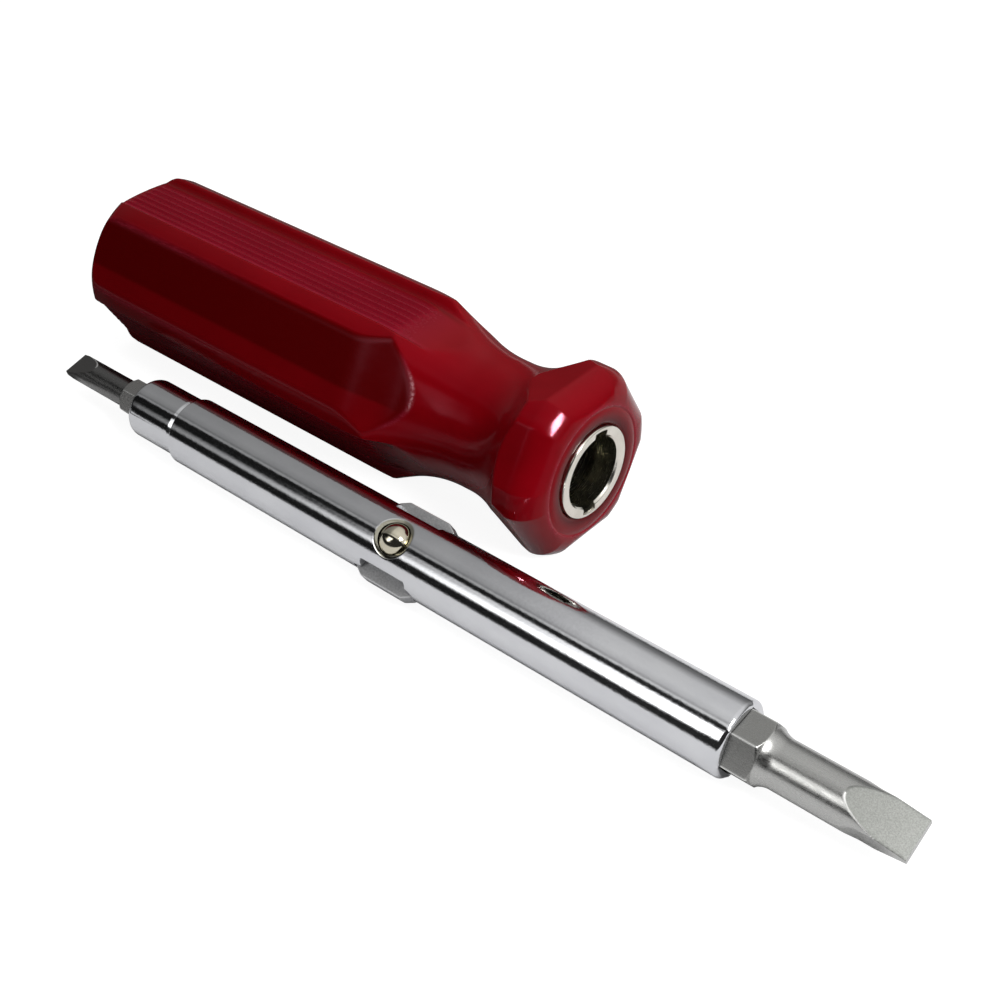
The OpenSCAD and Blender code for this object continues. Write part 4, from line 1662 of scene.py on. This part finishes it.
    def core(self) -> Array:
        """Stations inside the tube, with a narrow gap at each step of the bore.

        Returns:
            Stations from the small end to the large one.
        """
        stop = self.half - self.lip_in
        small, large, change = -self.half + self.small_depth, self.half - self.large_depth, self.bore_change()
        starts = (-stop, small + self.socket_wall, change + self.bore_wall, large + self.socket_wall)
        ends = (small - self.socket_wall, change - self.bore_wall, large - self.socket_wall, stop)
        return spread(*zip(starts, ends, self.core_counts))

    def build_tube(self) -> bpy.types.Object:
        """The tube as a closed sleeve, with the ears' slot and the ball's hole carved through its wall.

        Its rings run down the outside, over the small end's rounding, up the inside and over the large end's.

        Returns:
            The finished object.
        """
        angle = np.linspace(0.0, FULL_TURN, self.places, endpoint=False)[None, :]
        near, far = -self.half + self.small_round, self.half - self.end_round
        step = [-self.half + self.small_len + off for off in self.step_stops]
        reach = stations((near, *step, *self.side_stops, far), self.side_counts)[::-1, None]
        core = self.core()[:, None]
        inner = self.inside(core, angle)
        bend = np.linspace(self.round_from, 90.0, self.round_rings)[:, None]
        rise = bend[::-1]
        lip = np.array(self.lip_out)[:, None]
        lip_x = np.array([-self.half, -self.half + self.lip_run])[:, None]
        mouth = np.maximum(self.tube_r - self.end_round, inner[-1:] + self.mouth_wall)
        radii = (self.outside(reach, angle), self.small_r - self.small_round * (1.0 - cosd(bend)), inner[:1] + lip,
                 inner, inner[-1:] + lip[::-1], self.tube_r - (self.tube_r - mouth) * (1.0 - cosd(rise)))
        places = (reach, near - self.small_round * sind(bend), lip_x, core, -lip_x[::-1],
                  far + self.end_round * sind(rise))
        radius, place = (np.concatenate([ring + 0 * angle for ring in rings]) for rings in (radii, places))
        piece = Builder.rings("chrome_tube", self.put(place, radius, angle), loop=True, crease=self.crease)
        Builder.carve(piece, [self.slot_cutter(), self.ball_cutter()], self.crease)
        # Painted shade on the dished seat round the ball.
        off = Builder.points_of(piece) - np.array(self.middle)
        beside = np.hypot(off[:, 0], off @ self.direction(EARS_AT))
        seat = fade(beside - self.seat_r, *self.seat_shade)
        Builder.mark(piece, "painted_shade", seat * (off @ self.direction(BALL_AT) > 0.0))
        return piece

    def cross_points(self, reach: Array, across: Array, up: Array) -> Array:
        """Points of the part's frame from the shaft's plain coordinates, along, to the ears and to the ball."""
        reach, across, up = np.broadcast_arrays(reach, across, up)
        return self.put(reach, np.hypot(across, up), np.degrees(np.arctan2(up, across)))

    def slot_cutter(self) -> bpy.types.Object:
        """Block that opens the ears' slot through the tube.

        Returns:
            The cutter.
        """
        left, right = -self.ear_len / 2 - self.slot_gap, self.ear_len / 2 + self.slot_play
        flat = self.ear_t / 2 + self.slot_play
        along = np.array([left, right, right, left])[None, :]
        across = np.array([-self.cutter_r, self.cutter_r])[:, None]
        up = np.array([-flat, -flat, flat, flat])[None, :]
        return Builder.rings("slot_block", self.cross_points(along, across, up))

    def ball_cutter(self) -> bpy.types.Object:
        """Drill that opens the ball's hole from the tube's bore outward.

        Returns:
            The cutter.
        """
        turn = np.linspace(0.0, FULL_TURN, self.drill_places, endpoint=False)[None, :]
        hole = self.ball_d / 2 + self.ball_play
        up = np.array([self.drill_from, self.cutter_r])[:, None]
        return Builder.rings("ball_drill", self.cross_points(hole * cosd(turn), hole * sind(turn), up))

    def key_outline(self) -> Array:
        """The cross plate's outline: a polygon sampled evenly and smoothed.

        Each pass gives a point half its own place and a quarter of each neighbour's.

        Returns:
            Points by two, along the tube and across it.
        """
        a, b, w, h = self.ear_len / 2, self.ear_len / 2 - self.ear_bevel, self.tube_r, self.ear_span / 2
        corner = np.array([[-a, -w], [-b, -h], [b, -h], [a, -w], [a, w], [b, h], [-b, h], [-a, w], [-a, -w]])
        length = np.concatenate([[0.0], np.cumsum(np.linalg.norm(np.diff(corner, axis=0), axis=1))])
        share = np.linspace(0.0, length[-1], self.key_places, endpoint=False)
        line = np.stack([np.interp(share, length, corner[:, i]) for i in (0, 1)], -1)
        for _ in range(self.key_passes):
            line = 0.25 * np.roll(line, 1, 0) + 0.5 * line + 0.25 * np.roll(line, -1, 0)
        return line

    def build_key(self) -> bpy.types.Object:
        """The cross plate: its outline carried through its thickness over two eased edges, with the spring's hole.

        Each level is the outline drawn in by the edge's rounding.

        Returns:
            The finished object.
        """
        line = self.key_outline()
        tangent = np.roll(line, -1, 0) - np.roll(line, 1, 0)
        normal = np.stack([tangent[:, 1], -tangent[:, 0]], -1) / np.linalg.norm(tangent, axis=1, keepdims=True)
        bend = np.radians(np.linspace(0.0, 90.0, self.ease_rings))
        inward = self.ear_ease * (1 - np.sin(bend))
        upward = self.ear_ease * (1 - np.cos(bend)) - self.ear_t / 2
        rim = line[None] - np.concatenate([inward, inward[::-1]])[:, None, None] * normal[None]
        bearing = np.arctan2(line[:, 1], line[:, 0])
        hole = self.spring_hole_r * np.stack([np.cos(bearing), np.sin(bearing)], -1)[None]
        share = np.array(self.key_shares)[:, None, None]
        top = rim[-1:] * (1 - share) + hole * share
        low = rim[:1] * share + hole * (1 - share)
        plan = np.concatenate([rim, top, hole, hole, low])
        faces = np.repeat([self.ear_t / 2, -self.ear_t / 2], len(share) + 1)
        level = np.concatenate([upward, -upward[::-1], faces])
        rings = self.cross_points(plan[..., 0], plan[..., 1], level[:, None])
        piece = Builder.rings("ear_plate", rings, loop=True, crease=40.0)
        up = (Builder.points_of(piece) - np.array(self.middle)) @ self.direction(BALL_AT)
        wear_and_sheen = np.abs(np.abs(up) - self.ear_t / 2 + self.worn_in)
        Builder.mark(piece, "edge", self.worn_level * fade(wear_and_sheen, *self.worn_wide))
        return piece

    def wind(self, name: str, joint: str, body: str, node: str, spring: Spring, travel: float) -> None:
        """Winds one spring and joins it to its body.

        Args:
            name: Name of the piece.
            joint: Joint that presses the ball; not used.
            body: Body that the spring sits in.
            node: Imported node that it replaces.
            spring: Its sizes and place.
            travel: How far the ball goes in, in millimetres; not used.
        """
        piece = spring.build(name)
        self.join(piece, body, node, Slot.SPRING, WIRE.make())
        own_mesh(piece)

    def dress_middle(self, ball_steel: bpy.types.Material) -> None:
        """Builds the tube, the ears, the detent ball and its spring.

        Args:
            ball_steel: The balls' finish.
        """
        self.join(self.build_tube(), "shaft", "shaft_tube", Slot.TUBE, CHROME.make())
        self.join(self.build_key(), "shaft", "wing_key", Slot.KEY, StampedSteel().make())
        centre, up = np.array(self.middle), self.direction(BALL_AT)
        ball = Ball(centre + self.ball_z * up, self.ball_d).build("detent_ball_polished", up)
        self.join(ball, "detent", "detent_ball", Slot.BALL, ball_steel)
        length = self.ball_z - self.ball_d / 2 - self.spring_foot
        coil = Spring(centre + self.spring_foot * up, up, length, self.spring_d, self.spring_wire, self.spring_turns)
        self.wind("detent_coil", "detent_press", "shaft", "detent_spring", coil, self.ball_travel)

    def dress_end(self, holder: Holder, ball_steel: bpy.types.Material) -> None:
        """Builds one bit with its holding ball and spring.

        Args:
            holder: End of the shaft that the bit is in.
            ball_steel: The balls' finish.
        """
        end, bit = holder.name, holder.bit
        piece = bit.build(f"{end}_bit_satin", partial(self.put_bit, holder))
        bit.tint(piece, partial(self.local_bit, holder))
        self.join(piece, f"{end}_bit_body", f"{end}_bit", Slot.BIT, holder.satin.make())
        out = self.direction(self.bit_angle(holder, bit.keep_angle))
        seat = np.array(self.middle) + np.array([holder.hex_x, 0.0, 0.0])
        ball = Ball(seat + holder.keep_r * out, bit.keep_d).build(f"{end}_holding_ball", out)
        self.join(ball, f"{end}_keeper", f"{end}_bit_ball", Slot.BALL, ball_steel)
        length = holder.keep_r - bit.keep_d / 2 + bit.keep_depth
        coil = Spring(seat - bit.keep_depth * out, out, length, bit.keep_d - 2 * self.keep_wire, self.keep_wire,
                      holder.keep_turns)
        self.wind(f"{end}_holding_coil", f"{end}_keeper_press", f"{end}_bit_body", f"{end}_bit_spring", coil,
                  self.keep_travel)

    def dress(self) -> None:
        """Builds the shaft's pieces and joins each to its body."""
        ball_steel = BEARING.make()
        self.dress_middle(ball_steel)
        for holder in self.holders:
            self.dress_end(holder, ball_steel)


# Studio


@dataclass(frozen=True)
class Panel:
    """A soft lamp that faces the middle of the part: direction in degrees, sizes in metres, power in watts."""

    name: str
    azimuth: float
    elevation: float
    away: float
    wide: float
    tall: float
    power: float


@dataclass
class Studio:
    """White table, camera at the photograph's angle and soft light from a few panels.

    Stops are a brightness at an angle round the X axis, or at a share of the way along it.
    """

    eye: tuple[float, float, float] = (0.11670, -0.13273, 0.14277)
    azimuth: float = 40.33
    elevation: float = 37.98
    lens: float = 56.61
    sensor: float = 36.0
    clip: Span = (0.005, 10.0)
    floor_half: float = 1.5
    floor_drop: float = 0.05
    floor_glow: float = 0.92
    seen: Colour = (0.25, 0.25, 0.25)
    mirrored: Colour = (0.86, 0.86, 0.87)
    shaded: Colour = (0.12, 0.12, 0.12)
    bounce: Colour = (0.05, 0.05, 0.05)
    shade_near: Span = (-0.016, -0.008)
    shade_far: Span = (0.15, 0.3)
    shade_left: Span = (-0.084, -0.072)
    shade_right: Span = (-0.02, -0.008)
    shade_front: Span = (-0.16, -0.09)
    shade_shift: float = 0.05
    round_x: Span = (-180.0, 180.0)
    along_x: Span = (-1.0, 1.0)
    ceiling: Stops = ((-5, 0.08), (20, 0.3), (45, 0.9), (85, 1.0), (102, 0.85), (106, 0.6), (109, 0.6),
                      (111.5, 1.05), (115.5, 1.05), (118, 0.03), (170, 0.03))
    slope: Stops = ((-0.85, 0.26), (-0.66, 0.34), (-0.52, 0.44), (-0.475, 0.52), (-0.43, 0.76), (-0.36, 0.83),
                    (0.1, 1.0))
    window_top: Stops = ((129, 0.0), (133.5, 1.0))
    window_foot: Stops = ((157, 1.0), (162, 0.0))
    window_along: Stops = ((-0.6, 0.0), (-0.44, 0.55), (-0.34, 1.0), (0.05, 1.0), (0.12, 0.0))
    window_power: float = 2.4
    foot_tilt: Span = (0.45, 34.0)
    foot_bend: Span = (0.37, 94.0)
    skirt: Stops = ((140, 0.0), (150, 1.0), (157, 1.0), (161, 0.0))
    skirt_along: Stops = ((-0.85, 0.0), (-0.7, 0.14), (-0.5, 1.0), (-0.3, 1.0), (0.0, 0.0))
    skirt_power: float = 1.1
    matte_loss: float = 0.95
    key: Panel = Panel("key_panel", 82.0, 44.0, 0.6, 0.17, 0.17, 2.3)
    glint: Panel = Panel("glint_panel", 86.0, 38.0, 0.6, 0.17, 0.24, 33.0)

    @staticmethod
    def bearing(azimuth: float, elevation: float) -> Vector:
        """Unit vector towards an azimuth from -Y to +X and an elevation, in degrees."""
        a, e = math.radians(azimuth), math.radians(elevation)
        return Vector((math.sin(a) * math.cos(e), -math.cos(a) * math.cos(e), math.sin(e)))

    def camera(self) -> None:
        """Places the camera and makes it the scene's."""
        data = bpy.data.cameras.new("photo_camera")
        data.lens, data.sensor_width, data.sensor_fit = self.lens, self.sensor, "HORIZONTAL"
        data.clip_start, data.clip_end = self.clip
        back = self.bearing(self.azimuth, self.elevation)
        right = self.bearing(self.azimuth + 90.0, 0.0)
        up = back.cross(right)
        camera = bpy.data.objects.new("photo_camera", data)
        camera.matrix_world = Matrix.Translation(self.eye) @ Matrix((right, up, back)).transposed().to_4x4()
        bpy.context.scene.collection.objects.link(camera)
        bpy.context.scene.camera = camera

    def floor_colour(self, s: Shading, gloss: Socket) -> Socket:
        """The table's colour for all but the eye: pale in reflections, but dark where the handle shades it.

        The shaded field lies between a near and a far line across the table, ends on the right and bends on the left;
        past the front line the table is dark again.

        Args:
            s: The table's node tree.
            gloss: 1 for a reflection's ray.

        Returns:
            The colour.
        """
        full, none = (0.0, 1.0), (1.0, 0.0)
        along, across, _ = s.split()
        bent = s.math("MULTIPLY", s.span(along, self.shade_left, none), self.shade_shift)
        near = s.span(s.math("ADD", across, bent), self.shade_near, full)
        far = s.span(across, self.shade_far, none)
        shade_under = s.math("MULTIPLY", near, far, s.span(along, self.shade_right, none))
        dark = s.math("MAXIMUM", shade_under, s.span(across, self.shade_front, none))
        return s.mix(gloss, self.bounce, s.mix(dark, self.mirrored, self.shaded))

    def floor(self) -> None:
        """The table: white to the eye, a little less in reflections, and dark for the light that it throws back."""
        half, drop = self.floor_half / MM, -self.floor_drop
        points = np.array([[-half, -half, drop], [half, -half, drop], [half, half, drop], [-half, half, drop]])
        table = Builder.place("table", points, [[0, 1, 2, 3]])
        s = Shading("table_white")
        path = s.nodes.new("ShaderNodeLightPath").outputs
        eye = s.math("MAXIMUM", path["Is Camera Ray"], path["Is Transmission Ray"])
        colour = s.mix(eye, self.floor_colour(s, path["Is Glossy Ray"]), self.seen)
        shade = s.node("ShaderNodeBsdfDiffuse", Color=colour)
        glow = s.node("ShaderNodeEmission", Strength=s.math("MULTIPLY", eye, self.floor_glow))
        both = s.nodes.new("ShaderNodeAddShader")
        s.links.new(shade.outputs[0], both.inputs[0])
        s.links.new(glow.outputs[0], both.inputs[1])
        s.links.new(both.outputs[0], s.nodes["Material Output"].inputs["Surface"])
        table.data.materials.append(s.material)

    def lamp(self, panel: Panel) -> bpy.types.Object:
        """Hangs one soft panel.

        Args:
            panel: Its place, size and power.

        Returns:
            The lamp's object.
        """
        data = bpy.data.lights.new(panel.name, "AREA")
        data.shape, data.size, data.size_y, data.energy = "RECTANGLE", panel.wide, panel.tall, panel.power
        lamp = bpy.data.objects.new(panel.name, data)
        out = self.bearing(panel.azimuth, panel.elevation)
        lamp.location = out * panel.away
        lamp.rotation_euler = out.to_track_quat("Z", "Y").to_euler()
        bpy.context.scene.collection.objects.link(lamp)
        return lamp

    def lamps(self) -> None:
        """The key panel, and a second panel that only the plastic's gloss shows."""
        self.lamp(self.key)
        glint = self.lamp(self.glint)
        glint.visible_diffuse = glint.visible_transmission = False
        shown = bpy.data.collections.new("glossy_plastic")
        shown.objects.link(bpy.data.objects["handle_moulding"])
        glint.light_linking.receiver_collection = shown

    def room_light(self, g: Graph, matte: Socket) -> Socket:
        """Brightness of the room: a ceiling round the X axis times a slope along it, with a window and a skirt added.

        The window's foot leans with the way along X, more steeply past a bend. Matte surfaces hardly see either.

        Args:
            g: The room's node tree.
            matte: 1 for a matte surface's ray.

        Returns:
            The brightness.
        """
        along, across, up = g.split()
        around = g.math("MULTIPLY", g.math("ARCTAN2", up, across), 180.0 / math.pi)
        lean = g.math("MULTIPLY", g.math("ADD", along, self.foot_tilt[0]), self.foot_tilt[1])
        past = g.math("MAXIMUM", g.math("ADD", along, self.foot_bend[0]), 0.0)
        foot = g.math("ADD", g.math("SUBTRACT", around, lean), g.math("MULTIPLY", past, self.foot_bend[1]))
        ceiling = g.math("MULTIPLY", g.ramp(around, self.round_x, self.ceiling),
                         g.ramp(along, self.along_x, self.slope))
        window = g.math("MULTIPLY", g.ramp(around, self.round_x, self.window_top),
                        g.ramp(foot, self.round_x, self.window_foot),
                        g.ramp(along, self.along_x, self.window_along), self.window_power)
        skirt = g.math("MULTIPLY", g.ramp(around, self.round_x, self.skirt),
                       g.ramp(along, self.along_x, self.skirt_along), self.skirt_power)
        dim = g.math("SUBTRACT", 1.0, g.math("MULTIPLY", matte, self.matte_loss))
        return g.math("ADD", ceiling, g.math("MULTIPLY", g.math("ADD", window, skirt), dim))

    def world(self) -> None:
        """The room: white behind the table for the eye, and panels and dark gaps round the X axis for the rest."""
        room = bpy.data.worlds.new("room")
        room.use_nodes = True
        bpy.context.scene.world = room
        g = Graph(room.node_tree, "Generated")
        path = g.nodes.new("ShaderNodeLightPath").outputs
        eye = path["Is Camera Ray"]
        light = g.math("MULTIPLY", self.room_light(g, path["Is Diffuse Ray"]), g.math("SUBTRACT", 1.0, eye))
        back = g.nodes["Background"].inputs
        g.feed(back["Strength"], g.math("ADD", light, eye))
        g.feed(back["Color"], (1.0, 1.0, 1.0, 1.0))

    def set_up(self) -> None:
        """Makes the whole studio."""
        self.camera()
        self.floor()
        self.world()
        self.lamps()
        bpy.context.scene.view_settings.view_transform = "Standard"


def main() -> None:
    """Builds the part and the studio."""
    logging.basicConfig(level=logging.INFO, format="%(name)s: %(message)s")
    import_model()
    Handle().dress()
    Shaft().dress()
    Studio().set_up()


if __name__ == "__main__":
    main()
